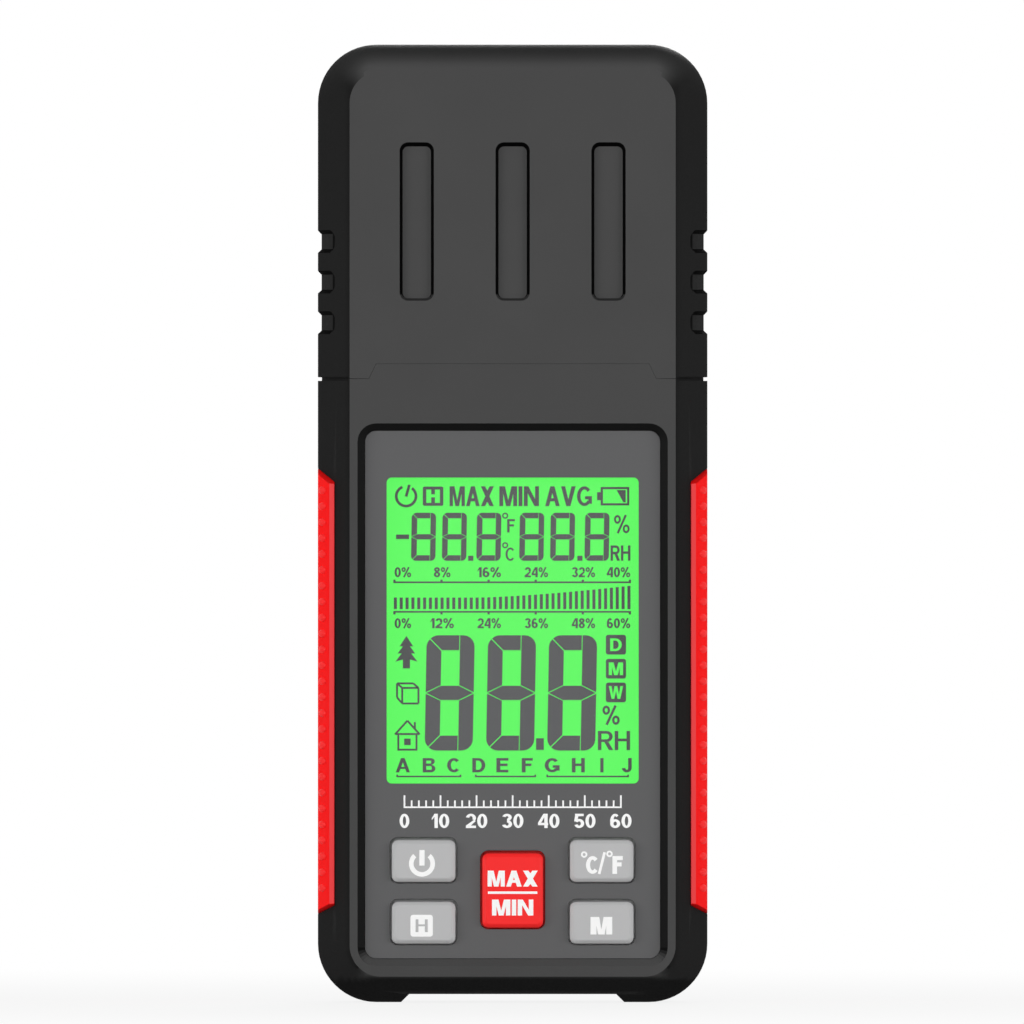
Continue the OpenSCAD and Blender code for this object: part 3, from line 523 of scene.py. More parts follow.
# In X and Y: down the side bevel, straight out of it, and the edge where it meets the side.
along, out = Vector((BEVEL_W, BEVEL_D)).normalized(), Vector((BEVEL_D, -BEVEL_W)).normalized()
knee = Vector((HALF_W, Y_FACE + BEVEL_D))
for side in (-1, 1):
    for z in NOTCH_Z:
        rings = []
        for deep, far, h in ((knee - along * 5.35 + out * 0.05, knee - along * 5.45 + out * 0.6, 0.7),
                             (knee - along * 4.5 - out * 0.26, knee - along * 4.7 + out * 0.6, 1.0),
                             (knee - along * 3.6 - out * 0.57, knee - along * 3.75 + out * 0.6, NOTCH_HALF),
                             (Vector((29.43, -5.85)), Vector((30.6, -6.3)), NOTCH_HALF),
                             (Vector((29.43, 8.0)), Vector((30.6, 8.0)), NOTCH_HALF),
                             (Vector((29.48, 11.2)), Vector((30.6, 11.6)), NOTCH_HALF)):
            rings.append([(side * deep.x, deep.y, z - h), (side * far.x, far.y, z - h - NOTCH_FLARE),
                          (side * far.x, far.y, z + h + NOTCH_FLARE), (side * deep.x, deep.y, z + h)])
        notches.append(loft("notch", rings))
notch = joined("notches", notches)
cut(cap, notch, tongue(0.02, Y_FACE + WALL + 0.6), groove_cutter())
soften(cap, 0.05)

# -------- front case

case = keep(solid_form("case_front_shell"), -5, SEAM, 0)
panel_mid = (PANEL_LOW.z + PANEL_HIGH.z) / 2
panel_half_w = PANEL_HIGH.x
panel_half_h = (PANEL_HIGH.z - PANEL_LOW.z) / 2


def panel_ring(grow, r, y):
    """The panel's outline, grown by a margin."""
    half_h = panel_half_h + grow
    return at_y(rounded(panel_half_w + grow, panel_mid - half_h, panel_mid + half_h, r, 8), y)


cut(case, loft("panel_cut", [panel_ring(RIM_W + 0.9, 3.7, Y_FACE - 0.8), panel_ring(RIM_W, 2.85, Y_FACE),
                             panel_ring(0.05, 1.75, PANEL_LOW.y), panel_ring(0.05, 1.75, PANEL_HIGH.y + 0.01)]))
cut(case, loft("panel_opening", [panel_ring(-1.3, 1.2, y) for y in (PANEL_HIGH.y - 0.5, Y_FACE + 4.2)]))
cut(case, plate("case_hollow", rounded(HALF_W - 4.2, 4.6, SEAM - 3, 5.0, 8), Y_FACE + 4.0, 1.0))


def grip_outline(grow):
    """A grip's outline in Y and Z, which runs on past the front bevel."""
    low, high = GRIP_LOW - grow, GRIP_HIGH + grow
    front, back = -10.6 - grow, 7.0 + grow
    return [(-6.0, low), (5.5, low), (back, low + 1.5), (back, high - 1.5), (5.5, high), (-6.0, high),
            (front, high - 2.3), (front - 6, high - 2.3), (front - 6, low + 1.5), (front, low + 1.5)]


GRIP_LOW, GRIP_HIGH = node_box("left_grip")[0].z, node_box("left_grip")[1].z
pockets = joined("grip_pockets", [along_x("grip_pocket", grip_outline(0.16), s * 27.32, s * 31.0)
                                  for s in (-1, 1)])
cut(pockets, solid_form("grip_core", 1.0))
foot = HALF_W - CORNER_R - 3.8
channel = plate("foot_channel", [(-foot, -1), (foot, -1), (foot, 0), (foot - 1.25, 1.25), (1.25 - foot, 1.25),
                                 (-foot, 0)], -20, 20)
cut(case, pockets, channel, groove_cutter())
boolean(case, tongue(0.0, Y_FACE + WALL + 0.5), "UNION")
soften(case, 0.05)

head = keep(solid_form("head_front_shell", HEAD_INSET), SEAM - 1.5, HEAD_TOP, 0)
band = layer_block("seal_groove", SEAM + 3.5, SEAM + 5.1)
cut(band, solid_form("seal_core", HEAD_INSET + 0.8))
sockets = node_box("pin_sockets")
socket_x = sockets[1].x - 4.25
bores = []
for s in (-1, 1):
    n = 32
    bores.append(loft("bore", [[(s * socket_x + 3.1 * math.cos(math.tau * k / n),
                                 3.1 * math.sin(math.tau * k / n), z) for k in range(n)]
                               for z in (HEAD_TOP - 3, HEAD_TOP + 1)]))
cut(head, band, joined("bores", bores))
soften(head, 0.1)

# -------- panel

panel = loft("front_panel", [panel_ring(0.0, 1.7, PANEL_LOW.y), panel_ring(0.0, 1.7, PANEL_HIGH.y)])
view_mid = (VIEW_LOW.z + VIEW_HIGH.z) / 2
view_half_w, view_half_h = VIEW_HIGH.x, (VIEW_HIGH.z - VIEW_LOW.z) / 2
cut(panel, plate("view_cut", rounded(view_half_w, view_mid - view_half_h, view_mid + view_half_h, 0.8, 6),
                 PANEL_LOW.y - 1, PANEL_HIGH.y + 1))


KEY_LIP = 0.8


def key_face(name):
    """Middle, half width and half height of a key's face, inside its retaining lip."""
    low, high = node_box(name)
    less = 0.2 if name == "max_min_key" else 0.0  # the photo's red key is slightly smaller than the CAD's
    return (low.x + high.x) / 2, (low.z + high.z) / 2 + less, (high.x - low.x) / 2 - KEY_LIP - less, \
        (high.z - low.z) / 2 - KEY_LIP - less


for name in KEY_NODES:
    x, z, w, h = key_face(name)
    cut(panel, plate("key_cut", rounded(w + 0.3, z - h - 0.2, z + h + 0.42, 1.25, 6, x),
                     PANEL_LOW.y - 1, PANEL_HIGH.y + 1))
soften(panel, 0.07)

# -------- keys


def key_cap(name):
    """A key with a flat face, broad bevels, a retaining lip and its post."""
    x, z, w, h = key_face(name)
    low, high = node_box(name)
    y = low.y
    rings = [at_y(rounded(w - i, z - h + i, z + h - i, max(r, 0.2), 6, x), y + d) for i, d, r in
             ((0.72, 0.0, 0.45), (0.6, 0.015, 0.5), (0.5, 0.07, 0.6), (0.14, 0.36, 0.9), (0.04, 0.5, 0.98),
              (0.0, 0.7, 1.0), (0.0, 3.2, 1.0), (-KEY_LIP, 3.2, 1.0), (-KEY_LIP, 4.2, 1.0))]
    body = loft(name + "_cap", rings)
    n = 24
    post = plate(name + "_post", [(x + 1.6 * math.cos(math.tau * k / n), z + 1.6 * math.sin(math.tau * k / n))
                                  for k in range(n)], y + 4.0, high.y)
    return boolean(body, post, "UNION")


# -------- printed shapes, in X and Z


def prints(name, shapes, y):
    """Thin raised prints from closed outlines, facing -Y.

    Seven heights, 2 microns apart, take turns, so outlines that overlap aren't flush with each other.
    """
    return joined(name, [plate(name, s, y - INK_DEPTH - 0.002 * (k % 7), y) for k, s in enumerate(shapes)])


def bow(x, z, r, width, a0, a1, n=28):
    """A curved stroke from angle a0 to a1, in degrees."""
    out = [math.radians(a0 + (a1 - a0) * k / n) for k in range(n + 1)]
    return [(x + (r + width / 2) * math.cos(a), z + (r + width / 2) * math.sin(a)) for a in out] \
        + [(x + (r - width / 2) * math.cos(a), z + (r - width / 2) * math.sin(a)) for a in reversed(out)]


def ring_shape(x, z, r, width):
    return [bow(x, z, r, width, 0, 180), bow(x, z, r, width, 180, 360)]


def line(x0, z0, x1, z1, width):
    d = math.hypot(x1 - x0, z1 - z0)
    nx, nz = -(z1 - z0) / d * width / 2, (x1 - x0) / d * width / 2
    return [(x0 + nx, z0 + nz), (x0 - nx, z0 - nz), (x1 - nx, z1 - nz), (x1 + nx, z1 + nz)]


def rect(x0, z0, x1, z1):
    return [(x0, z0), (x1, z0), (x1, z1), (x0, z1)]


def sweep(x, z, rx, rz, t, s, a0, a1, n=18):
    """A stroke along an ellipse, t wide at its sides and s at its top and bottom."""
    angles = [math.radians(a0 + (a1 - a0) * k / n) for k in range(n + 1)]
    return [(x + rx * math.cos(a), z + rz * math.sin(a)) for a in angles] \
        + [(x + (rx - t) * math.cos(a), z + (rz - s) * math.sin(a)) for a in reversed(angles)]


def bowl(x0, x1, z0, z1, t, s0, s1, n=12):
    """A letter's bowl, open to the left, with its lower bar s0 and its upper bar s1 high."""
    rz = (z1 - z0) / 2
    rx = min(rz, (x1 - x0) * 0.75)
    x, z = x1 - rx, (z0 + z1) / 2
    angles = [math.radians(90 - 180 * k / n) for k in range(n + 1)]
    outer = [(x + rx * math.cos(a), z + rz * math.sin(a)) for a in angles]
    inner = [(x + (rx - t) * math.cos(a), z + (rz - (s1 if a > 0 else s0)) * math.sin(a))
             for a in reversed(angles)]
    return [(x0, z1)] + outer + [(x0, z0), (x0, z0 + s0)] + inner + [(x0, z1 - s1)]


# widths over heights; other letters are 0.74 and other digits 0.6
WIDTHS = {"I": 0.0, "M": 0.87, "W": 1.08, "A": 0.78, "V": 0.78, "G": 0.8, "C": 0.76, "%": 0.92, "F": 0.6,
          "E": 0.64, "J": 0.58, "1": 0.36}


def glyph(c, w, t):
    """The outlines of one plain capital or digit, 1 high, w wide, with strokes t wide."""
    s, m = t * 0.85, 0.53

    def turn(z, rz, a0, a1, rx=w / 2):
        return sweep(w / 2, z, rx, rz, t, s, a0, a1)

    if c == "I":
        return [rect(0, 0, w, 1)]
    if c == "M":
        a, b, d = 1.45 * t, 0.3, 0.55 * t
        k = (1 - b) * (w / 2 - d - t) / (w / 2 - a)
        return [[(0, 0), (0, 1), (a, 1), (w / 2, b), (w - a, 1), (w, 1), (w, 0), (w - t, 0), (w - t, k),
                 (w / 2 + d, 0), (w / 2 - d, 0), (t, k), (t, 0)]]
    if c == "W":
        q = 1.05 * t
        return [[(0, 1), (q, 1), (w * 0.29, 0.34), (w / 2 - q / 2, 1), (w / 2 + q / 2, 1), (w * 0.71, 0.34),
                 (w - q, 1), (w, 1), (w * 0.71 + q / 2, 0), (w * 0.71 - q / 2, 0), (w / 2, 0.62),
                 (w * 0.29 + q / 2, 0), (w * 0.29 - q / 2, 0)]]
    if c == "N":
        k = 0.36
        return [[(0, 0), (0, 1), (1.15 * t, 1), (w - t, k), (w - t, 1), (w, 1), (w, 0), (w - 1.15 * t, 0),
                 (t, 1 - k), (t, 0)]]
    if c == "A":
        g = w / 2 - 0.58 * t
        low, high = 0.24, 0.24 + s

        def edge(z):
            return 1.1 * t + g * z

        top = (w / 2 - 1.1 * t) / g
        half = [(0, 0), (g, 1), (w / 2, 1), (w / 2, top), (edge(high), high), (w / 2, high), (w / 2, low),
                (edge(low), low), (1.1 * t, 0)]
        return [half, [(w - x, z) for x, z in half]]
    if c == "V":
        q = 1.15 * t
        return [[(0, 1), (q, 1), (w / 2, 0.34), (w - q, 1), (w, 1), (w / 2 + 0.58 * t, 0),
                 (w / 2 - 0.58 * t, 0)]]
    if c == "X":
        q, e = 1.25 * t, 0.62 * t
        d = e / (w / 2 - e) * 0.62
        return [[(0, 0), (w / 2 - e, 0.5), (0, 1), (q, 1), (w / 2, 0.5 + d), (w - q, 1), (w, 1),
                 (w / 2 + e, 0.5), (w, 0), (w - q, 0), (w / 2, 0.5 - d), (q, 0)]]
    if c == "H":
        return [[(0, 0), (0, 1), (t, 1), (t, m + s / 2), (w - t, m + s / 2), (w - t, 1), (w, 1), (w, 0),
                 (w - t, 0), (w - t, m - s / 2), (t, m - s / 2), (t, 0)]]
    if c == "F":
        return [[(0, 0), (0, 1), (w, 1), (w, 1 - s), (t, 1 - s), (t, m + s / 2), (w * 0.88, m + s / 2),
                 (w * 0.88, m - s / 2), (t, m - s / 2), (t, 0)]]
    if c == "E":
        return [[(0, 0), (0, 1), (w, 1), (w, 1 - s), (t, 1 - s), (t, m + s / 2), (w * 0.93, m + s / 2),
                 (w * 0.93, m - s / 2), (t, m - s / 2), (t, s), (w, s), (w, 0)]]
    if c == "C":
        return [turn(0.5, 0.5, 42, 318)]
    if c == "G":
        return [turn(0.5, 0.5, 40, 322), rect(w - t, 0.12, w, 0.5),
                rect(w * 0.54, 0.5 - s, w - t, 0.5)]
    if c == "D":
        return [rect(0, 0, t, 1), bowl(t, w, 0, 1, t, s, s)]
    if c == "B":
        return [rect(0, 0, t, 1), bowl(t, w * 0.95, m, 1, t, s / 2, s), bowl(t, w, 0, m, t, s, s / 2)]
    if c == "R":
        return [rect(0, 0, t, 1), bowl(t, w * 0.96, 0.42, 1, t, s, s),
                [(w * 0.42, 0.42), (w * 0.42 + 1.2 * t, 0.42), (w, 0), (w - 1.25 * t, 0)]]
    if c == "J":
        return [rect(w - t, 0.3, w, 1), turn(0.3, 0.3, 180, 360)]
    if c == "%":
        r = 0.22 * w
        out = [line(w * 0.24, 0, w * 0.76, 1, t * 0.75)]
        for x, z in ((r, 0.76), (w - r, 0.24)):
            out += [sweep(x, z, r, 0.24, t * 0.7, t * 0.7, a, a + 180) for a in (0, 180)]
        return out
    if c == "0":
        return [turn(0.5, 0.5, a, a + 180) for a in (90, 270)]
    if c == "1":
        return [rect(w - t, 0, w, 1), [(0, 0.7), (w - t, 1), (w - t, 0.78), (0, 0.55)]]
    if c == "2":
        return [turn(0.7, 0.3, 170, -38), rect(0, 0, w, s),
                [(0, s), (w * 0.9 - t * 0.4, 0.56), (w * 0.97, 0.49), (t * 1.5, s)]]
    if c == "3":
        return [turn(0.745, 0.255, 165, -90, w * 0.47), turn(0.28, 0.28, 90, -165)]
    if c == "4":
        k = w * 0.62
        return [rect(k, 0, k + t, 1), rect(0, 0.2, k, 0.2 + s), rect(k + t, 0.2, w, 0.2 + s),
                [(0, 0.2 + s), (k - t * 0.25, 1), (k, 1), (k, 0.76), (t * 0.95, 0.2 + s)]]
    if c == "5":
        return [rect(w * 0.1, 1 - s, w * 0.95, 1),
                [(w * 0.1, 1 - s), (w * 0.1 + t, 1 - s), (t * 0.95, 0.48), (0, 0.46)],
                turn(0.32, 0.32, 150, -160)]
    if c == "6":
        return [turn(0.31, 0.31, a, a + 180) for a in (90, 270)] \
            + [turn(0.5, 0.5, 50, 190)]
    if c == "8":
        return [turn(0.755, 0.245, a, a + 180, w * 0.46) for a in (90, 270)] \
            + [turn(0.28, 0.28, a, a + 180) for a in (90, 270)]
    raise ValueError(c)


def letters(text, x, z, height, width, weight=0.2):
    """The outlines of plain letters, centred on x and z and fitted to a height and a width."""
    space = 0.07
    widths = [max(WIDTHS.get(c, 0.6 if c.isdigit() else 0.74), weight) for c in text]
    total = sum(widths) + space * (len(text) - 1)
    at = 0.0
    out = []
    for c, w in zip(text, widths):
        for shape in glyph(c, w, weight):
            out.append([(x - width / 2 + (at + px) * width / total, z - height / 2 + pz * height)
                        for px, pz in shape])
        at += w + space
    return out


def segments(x, z, w, h, t, gap, slant, r):
    """The seven segments of a digit whose lower left corner is at x, z. Its outer corners have radius r."""
    m, g = h / 2, gap / 2

    def corner(cx, cz, a0, a1, n=5):
        return [(cx + r * math.cos(math.radians(a0 + (a1 - a0) * k / n)),
                 cz + r * math.sin(math.radians(a0 + (a1 - a0) * k / n))) for k in range(n + 1)]

    top = [(t + gap, h - t)] + corner(r + gap, h - r, 135, 90) + [(w - t - g, h), (w - t - g, h - t)]
    side = corner(r, h - r, 180, 135) + [(t, h - t - gap), (t, m + t / 2 + g), (0, m + gap)]
    side = [(px, pz - gap if k < 6 else pz) for k, (px, pz) in enumerate(side)]
    right = corner(w - r, h - r, 90, 0) + [(w, m + gap), (w - t + g, m + t / 2 + g), (w - t + g, h)]
    middle = [(gap, m), (t, m + t / 2 - g), (w - t, m + t / 2 - g), (w - gap, m), (w - t, m - t / 2 + g),
              (t, m - t / 2 + g)]
    shapes = [middle]
    for upper in (top, side, right):
        shapes += [upper, [(px, h - pz) for px, pz in upper]]
    return [[(x + px + slant * pz / h, z + pz) for px, pz in s] for s in shapes]


# -------- display

left, right = -view_half_w, view_half_w
bottom, top = view_mid - view_half_h - 0.03, view_mid + view_half_h + 0.18
INK_Y = node_box("lcd_cell")[0].y - 0.01
shapes = []  # dark prints
glow_shapes = []  # letters inside dark boxes, in the display's own colour

# top row
row = top - 3.05
shapes += [bow(left + 3.0, row, 1.52, 0.42, 112, 414),
           line(left + 3.0, row - 0.05, left + 3.5, row + 1.75, 0.42)]
hx = left + 7.15
shapes.append(rounded(1.58, row - 1.48, row + 1.48, 0.25, 3, hx))
glow_shapes += letters("H", hx, row, 2.05, 2.1, 0.27)
for text, x, width in (("MAX", 13.1, 6.8), ("MIN", 20.4, 6.1), ("AVG", 28.0, 7.2)):
    shapes += letters(text, left + x, row, 3.05, width, 0.19)
bx = left + 34.9
for x0, z0, x1, z1 in ((-1.95, -1.42, 2.45, -1.08), (-1.95, 1.08, 2.45, 1.42), (-1.95, -1.08, -1.6, 1.08),
                       (2.12, -1.08, 2.45, 1.08), (-2.5, -0.62, -1.95, 0.62)):
    shapes.append(rect(bx + x0, row + z0, bx + x1, row + z1))
shapes.append([(bx + x, row + z) for x, z in ((0.5, 0.95), (1.9, 0.95), (1.9, -0.95), (1.55, -0.95))])

# small digits
digit_z = top - 13.0
for x in (left + 3.75, left + 8.5, left + 13.8, left + 20.4, left + 25.15, left + 30.45):
    shapes += segments(x, digit_z, 3.75, 7.4, 0.86, 0.05, 0.12, 0.72)
shapes += [rect(left + 1.45, digit_z + 3.35, left + 3.45, digit_z + 4.05),
           rect(left + 12.55, digit_z, left + 13.35, digit_z + 0.78),
           rect(left + 29.35, digit_z, left + 30.15, digit_z + 0.78)]
for z in (digit_z + 6.95, digit_z + 2.4):
    shapes += ring_shape(left + 18.25, z, 0.36, 0.22)
shapes += letters("F", left + 19.15, digit_z + 5.4, 2.05, 1.2, 0.19)
shapes += letters("C", left + 19.05, digit_z + 1.02, 2.05, 1.5, 0.16)
shapes += letters("%", left + 36.2, digit_z + 5.65, 2.8, 2.4, 0.17)
shapes += letters("RH", left + 36.0, digit_z + 1.2, 2.35, 3.05, 0.19)

# two scales with their bar graph
scale_left, scale_right = left + 1.05, right - 1.2
pitch = (scale_right - scale_left - 0.3) / 5
upper, lower = top - 16.3, top - 20.85
BARS = 41
for z, tick in ((upper, 0.4), (lower, -0.4)):
    shapes.append(rect(scale_left, z - 0.13, scale_right, z + 0.13))
    for i in range(6):
        x = scale_left + 0.15 + i * pitch
        shapes.append(rect(x - 0.17, min(z - tick / 3, z + tick), x + 0.17, max(z - tick / 3, z + tick)))
for i in range(BARS):
    x = scale_left + 0.3 + i * (scale_right - scale_left - 0.6) / (BARS - 1)
    rise = 1.78 + 1.8 * max(0.0, (i - 14) / (BARS - 15)) ** 1.45
    shapes.append(rect(x - 0.235, lower + 0.42, x + 0.235, lower + 0.42 + rise))
for z, step in ((upper + 1.55, 8), (lower - 1.75, 12)):
    for i in range(6):
        text = "%d%%" % (i * step)
        x = scale_left + 0.15 + i * pitch
        x += 1.3 if i == 0 else (-1.75 if i == 5 else 0.1)
        shapes += letters(text, x, z, 1.55, 2.55 if len(text) == 2 else 3.6, 0.21)

# large digits
big_z = bottom + 5.1
for x in (left + 5.85, left + 15.3, left + 24.7):
    shapes += segments(x, big_z, 7.4, 17.75, 2.3, 0.1, 0.32, 1.75)
shapes.append(rect(left + 23.0, big_z + 0.1, left + 24.2, big_z + 1.9))

# tree, wood and house
tx, tz = left + 3.05, bottom + 17.75
TREE = [(1.05, 3.4), (0.55, 3.4), (1.35, 2.3), (0.75, 2.3), (1.7, 1.05), (0.55, 1.35), (0.55, 0)]
shapes.append([(tx, tz + 5.0)] + [(tx - x, tz + z) for x, z in TREE]
              + [(tx + x, tz + z) for x, z in reversed(TREE)])
BLOCK_LINES = ((-0.9, 0, 1.6, 0), (-0.9, 2.4, 1.6, 2.4), (-0.9, 0, -0.9, 2.4), (1.6, 0, 1.6, 2.4),
               (-1.7, 0.95, -0.9, 0.02), (-1.7, 0.95, -1.7, 3.1), (-1.7, 3.1, -0.9, 2.4), (-1.7, 3.1, 0.8, 3.1),
               (0.8, 3.1, 1.6, 2.4))
HOUSE_LINES = ((-1.4, 0.14, 1.4, 0.14), (-1.4, 0, -1.4, 2.6), (1.4, 0, 1.4, 2.6), (-1.9, 2.55, 1.9, 2.55),
               (-1.9, 2.5, 0, 4.6), (1.9, 2.5, 0, 4.6), (1.15, 3.4, 1.15, 4.4))
ox, oz = left + 3.2, bottom + 5.1
for x, z, strokes in ((left + 3.3, bottom + 12.35, BLOCK_LINES), (ox, oz, HOUSE_LINES)):
    for x0, z0, x1, z1 in strokes:
        shapes.append(line(x + x0, z + z0, x + x1, z + z1, 0.3))
shapes.append(rect(ox - 0.5, oz + 0.85, ox + 0.5, oz + 1.85))

# boxes and units on the right
for text, z in (("D", bottom + 21.4), ("M", bottom + 17.7), ("W", bottom + 14.05)):
    x = left + 35.3
    shapes.append(rounded(1.55, z - 1.52, z + 1.52, 0.35, 3, x))
    glow_shapes += letters(text, x, z, 1.95, 1.8 if text == "D" else 2.2, 0.2)
shapes += letters("%", left + 34.55, bottom + 10.55, 2.95, 2.65, 0.18)
shapes += letters("RH", left + 35.0, bottom + 6.65, 2.95, 4.95, 0.17)

# letters along the bottom, in three groups
letter_z = bottom + 2.85
for i, (text, width) in enumerate(zip("ABCDEFGHIJ", (2.2, 1.95, 2.1, 2.0, 1.85, 1.7, 2.3, 2.0, 0.5, 1.5))):
    x = left + 2.5 + i * 3.83 + (0.2 if text in "BCDH" else 0.0)
    shapes += letters(text, x, letter_z, 2.2, width, 0.17 if text == "A" else 0.21)
for a, b in ((1.5, 11.5), (13.6, 23.0), (24.6, 37.3)):
    shapes += [rect(left + a, letter_z - 1.85, left + b, letter_z - 1.62),
               rect(left + a, letter_z - 1.62, left + a + 0.25, letter_z - 1.45),
               rect(left + b - 0.25, letter_z - 1.62, left + b, letter_z - 1.45)]

place(prints("lcd_segments", shapes, INK_Y), "case", materials=[DARK_INK])
place(prints("lcd_box_letters", glow_shapes, INK_Y - INK_DEPTH), "case", materials=[GLOW])

# -------- legends on panel and keys

scale_z = bottom - 3.6
marks = []
MARK_PITCH = 1.11  # 31 marks, with a number at every fifth
for i in range(31):
    x = MARK_PITCH * (i - 15)
    marks.append(rect(x - 0.13, scale_z + 0.12, x + 0.13, scale_z + (1.05 if i % 5 else 1.85)))
marks.append(rect(-16.78, scale_z - 0.12, 16.78, scale_z + 0.12))
for i in range(7):
    width = (1.5, 2.7, 3.3)[min(i, 2)]
    marks += letters(str(10 * i), 5 * MARK_PITCH * (i - 3), scale_z - 2.1, 2.2, width, 0.2)
place(prints("panel_scale", marks, PANEL_LOW.y), "case", materials=[INK])


def legend(name, body, shapes, words, material=INK, raised=0.0):
    """Prints on a key: outlines, and words with their middle, height, width and weight."""
    y = node_box(body)[0].y + 0.005 - raised
    for text, x, z, h, w, weight in words:
        shapes += letters(text, x, z, h, w, weight)
    return place(prints(name, shapes, y), body, materials=[material])


for name in KEY_NODES:
    red = name == "max_min_key"
    place(key_cap(name), name, name, materials=[RED_KEY if red else KEY], angle=40)

# -------- the shells' painted shade


def ramp(low, high, value):
    """0 to 1, smoothly, as a value goes from low to high."""
    t = min(1.0, max(0.0, (value - low) / (high - low)))
    return t * t * (3 - 2 * t)


SIDE_SHADE = 0.85  # how much painted shade darkens the sides, between the front's colour, 0, and near black, 1
# the back keeps a lighter share of the painted shade
BACK_SHADE = 0.66


def tone_shell(obj):
    """Writes how much painted shade the shell gets at each corner of its faces: 0 on the flat front, 1
    underneath.
    """
    mesh = obj.data
    layer = mesh.attributes.new("painted_side_shade", "FLOAT", "CORNER")
    values = [0.0] * len(mesh.loops)
    arc_x, arc_z = HALF_W - CORNER_R, TOP - CORNER_R
    for p in mesh.polygons:
        flat = p.normal.y < -0.99 and p.center.y * 1000 < Y_FACE + 0.9
        for k in p.loop_indices:
            v = mesh.vertices[mesh.loops[k].vertex_index].co * 1000
            over, across = max(v.z - arc_z, 0.0), max(abs(v.x) - arc_x, 0.0)
            side = SIDE_SHADE * ramp(0.0, 3.5, across)
            # painted shade along the top edge, darkest at the outer edge and fading inwards
            if over:
                upper = ramp(0.3, 0.9, math.atan2(over, across) / (math.pi / 2))
                depth = CORNER_R - math.hypot(over, across)
                side = (1 - upper) * SIDE_SHADE + upper * max(0.0, 1 - depth / 3.3)
            # near-black painted shade along the bottom, and side shade further back
            side = max(side, ramp(BEVEL_LOW + 1.0, BEVEL_LOW - 0.5, v.z), SIDE_SHADE * ramp(-11.5, -6.0, v.y))
            back = ramp(-6.2, -4.5, v.y)
            side += (BACK_SHADE - side) * back
            values[k] = 0.0 if flat else side
        c = p.center * 1000
        tone = None
        # Painted shade: the pockets' upward-facing lower walls lighter than their other walls, and the notches'
        # front slopes dark.
        if obj is cap and in_pocket(c) and p.normal.z > 0.3:
            tone = 0.6
        elif obj is cap and any(abs(c.z - z) < 1.3 for z in NOTCH_Z) and c.y < -5 \
                and -0.8 < (Vector((abs(c.x), c.y)) - knee).dot(out) < -0.52:
            tone = 0.8
        if tone is not None:
            for k in p.loop_indices:
                values[k] = tone
    layer.data.foreach_set("value", values)


def in_pocket(c):
    """Whether a point is in one of the cap's front pockets."""
    return abs(c.z - POCKET_Z) < 12.6 and Y_FACE + 0.02 < c.y < Y_FACE + 0.6 \
        and any(abs(c.x - i * POCKET_PITCH) < 2.75 for i in (-1, 0, 1))


def in_notch(c, n):
    """Whether a face is a side notch's upper or lower wall, or its slope at the front end."""
    depth = (Vector((abs(c.x), c.y)) - knee).dot(out)
    if not (any(abs(c.z - z) < 2.0 for z in NOTCH_Z) and 26.3 < abs(c.x) < HALF_W - 0.01 and c.y < 11.5):
        return False
    return abs(n.z) > 0.2 or (c.y < -7 and -0.5 < depth < -0.02 and any(abs(c.z - z) < 1.3 for z in NOTCH_Z))


for obj, body, replaced in ((cap, "cap", "cap"), (case, "case", "front_case"), (head, "case", "front_case")):
    place(obj, body, replaced, materials=[SHELL, RIM_SHADE, GROOVE_SHADE])
    tone_shell(obj)
    for p in obj.data.polygons:
        c, n = p.center * 1000, p.normal
        rim = obj is case and Y_FACE + 0.03 < c.y < PANEL_LOW.y + 0.2 and abs(n.y) < 0.95 \
            and abs(c.x) < panel_half_w + RIM_W + 0.25 and PANEL_LOW.z - 1.5 < c.z < PANEL_HIGH.z + 1.5
        # The panel rim's walls that face down or sideways get near-black painted shade, and those that face up
        # less of it.
        if rim and n.z < 0.06:
            p.material_index = 1
        elif rim:
            for k in p.loop_indices:
                obj.data.attributes["painted_side_shade"].data[k].value = 0.97 * (1 - ramp(0.05, 0.6, n.z))
        # The walls of the cap's pockets and notches get black painted shade.
        if obj is cap and ((in_pocket(c) and abs(n.y) < 0.95 and n.z < 0.3) or in_notch(c, n)):
            p.material_index = 2
place(panel, "case", "face_panel", materials=[PANEL, GROOVE_SHADE])
# The walls of the key holes get black painted shade.
for p in panel.data.polygons:
    c = p.center * 1000
    if abs(p.normal.y) < 0.5 and c.z < VIEW_LOW.z - 1 and abs(c.x) < panel_half_w - 1 and c.z > PANEL_LOW.z + 1:
        p.material_index = 1

x, z = key_face("power_key")[:2]
x, z = x - 0.25, z - 0.4
legend("power_legend", "power_key",
       [bow(x, z, 1.65, 0.72, 132, 408), rect(x - 0.4, z - 0.3, x + 0.4, z + 2.1)], [])
x, z = key_face("hold_key")[:2]
x, z = x - 0.3, z - 0.45
legend("hold_legend", "hold_key", [rounded(1.72, z - 1.68, z + 1.68, 0.4, 4, x)], [])
legend("hold_letter", "hold_key", [], [("H", x, z, 1.95, 1.85, 0.17)], KEY, raised=INK_DEPTH)
x, z = key_face("unit_key")[:2]
legend("unit_legend", "unit_key",
       ring_shape(x - 2.7, z + 1.0, 0.36, 0.28) + ring_shape(x + 1.2, z + 1.1, 0.36, 0.28)
       + [line(x - 0.4, z - 2.0, x + 0.45, z + 1.35, 0.42)],
       [("C", x - 1.4, z - 0.6, 2.75, 2.05, 0.24), ("F", x + 2.45, z - 0.6, 2.75, 1.6, 0.27)])
x, z = key_face("mode_key")[:2]
legend("mode_legend", "mode_key", [], [("M", x - 0.05, z - 0.45, 2.7, 3.35, 0.24)])
x, z = key_face("max_min_key")[:2]
legend("max_min_legend", "max_min_key", [rect(x - 3.8, z - 0.5, x + 3.8, z - 0.13)],
       [("MAX", x, z + 1.85, 2.45, 7.7, 0.21), ("MIN", x, z - 2.6, 2.45, 6.35, 0.21)])

# -------- grips


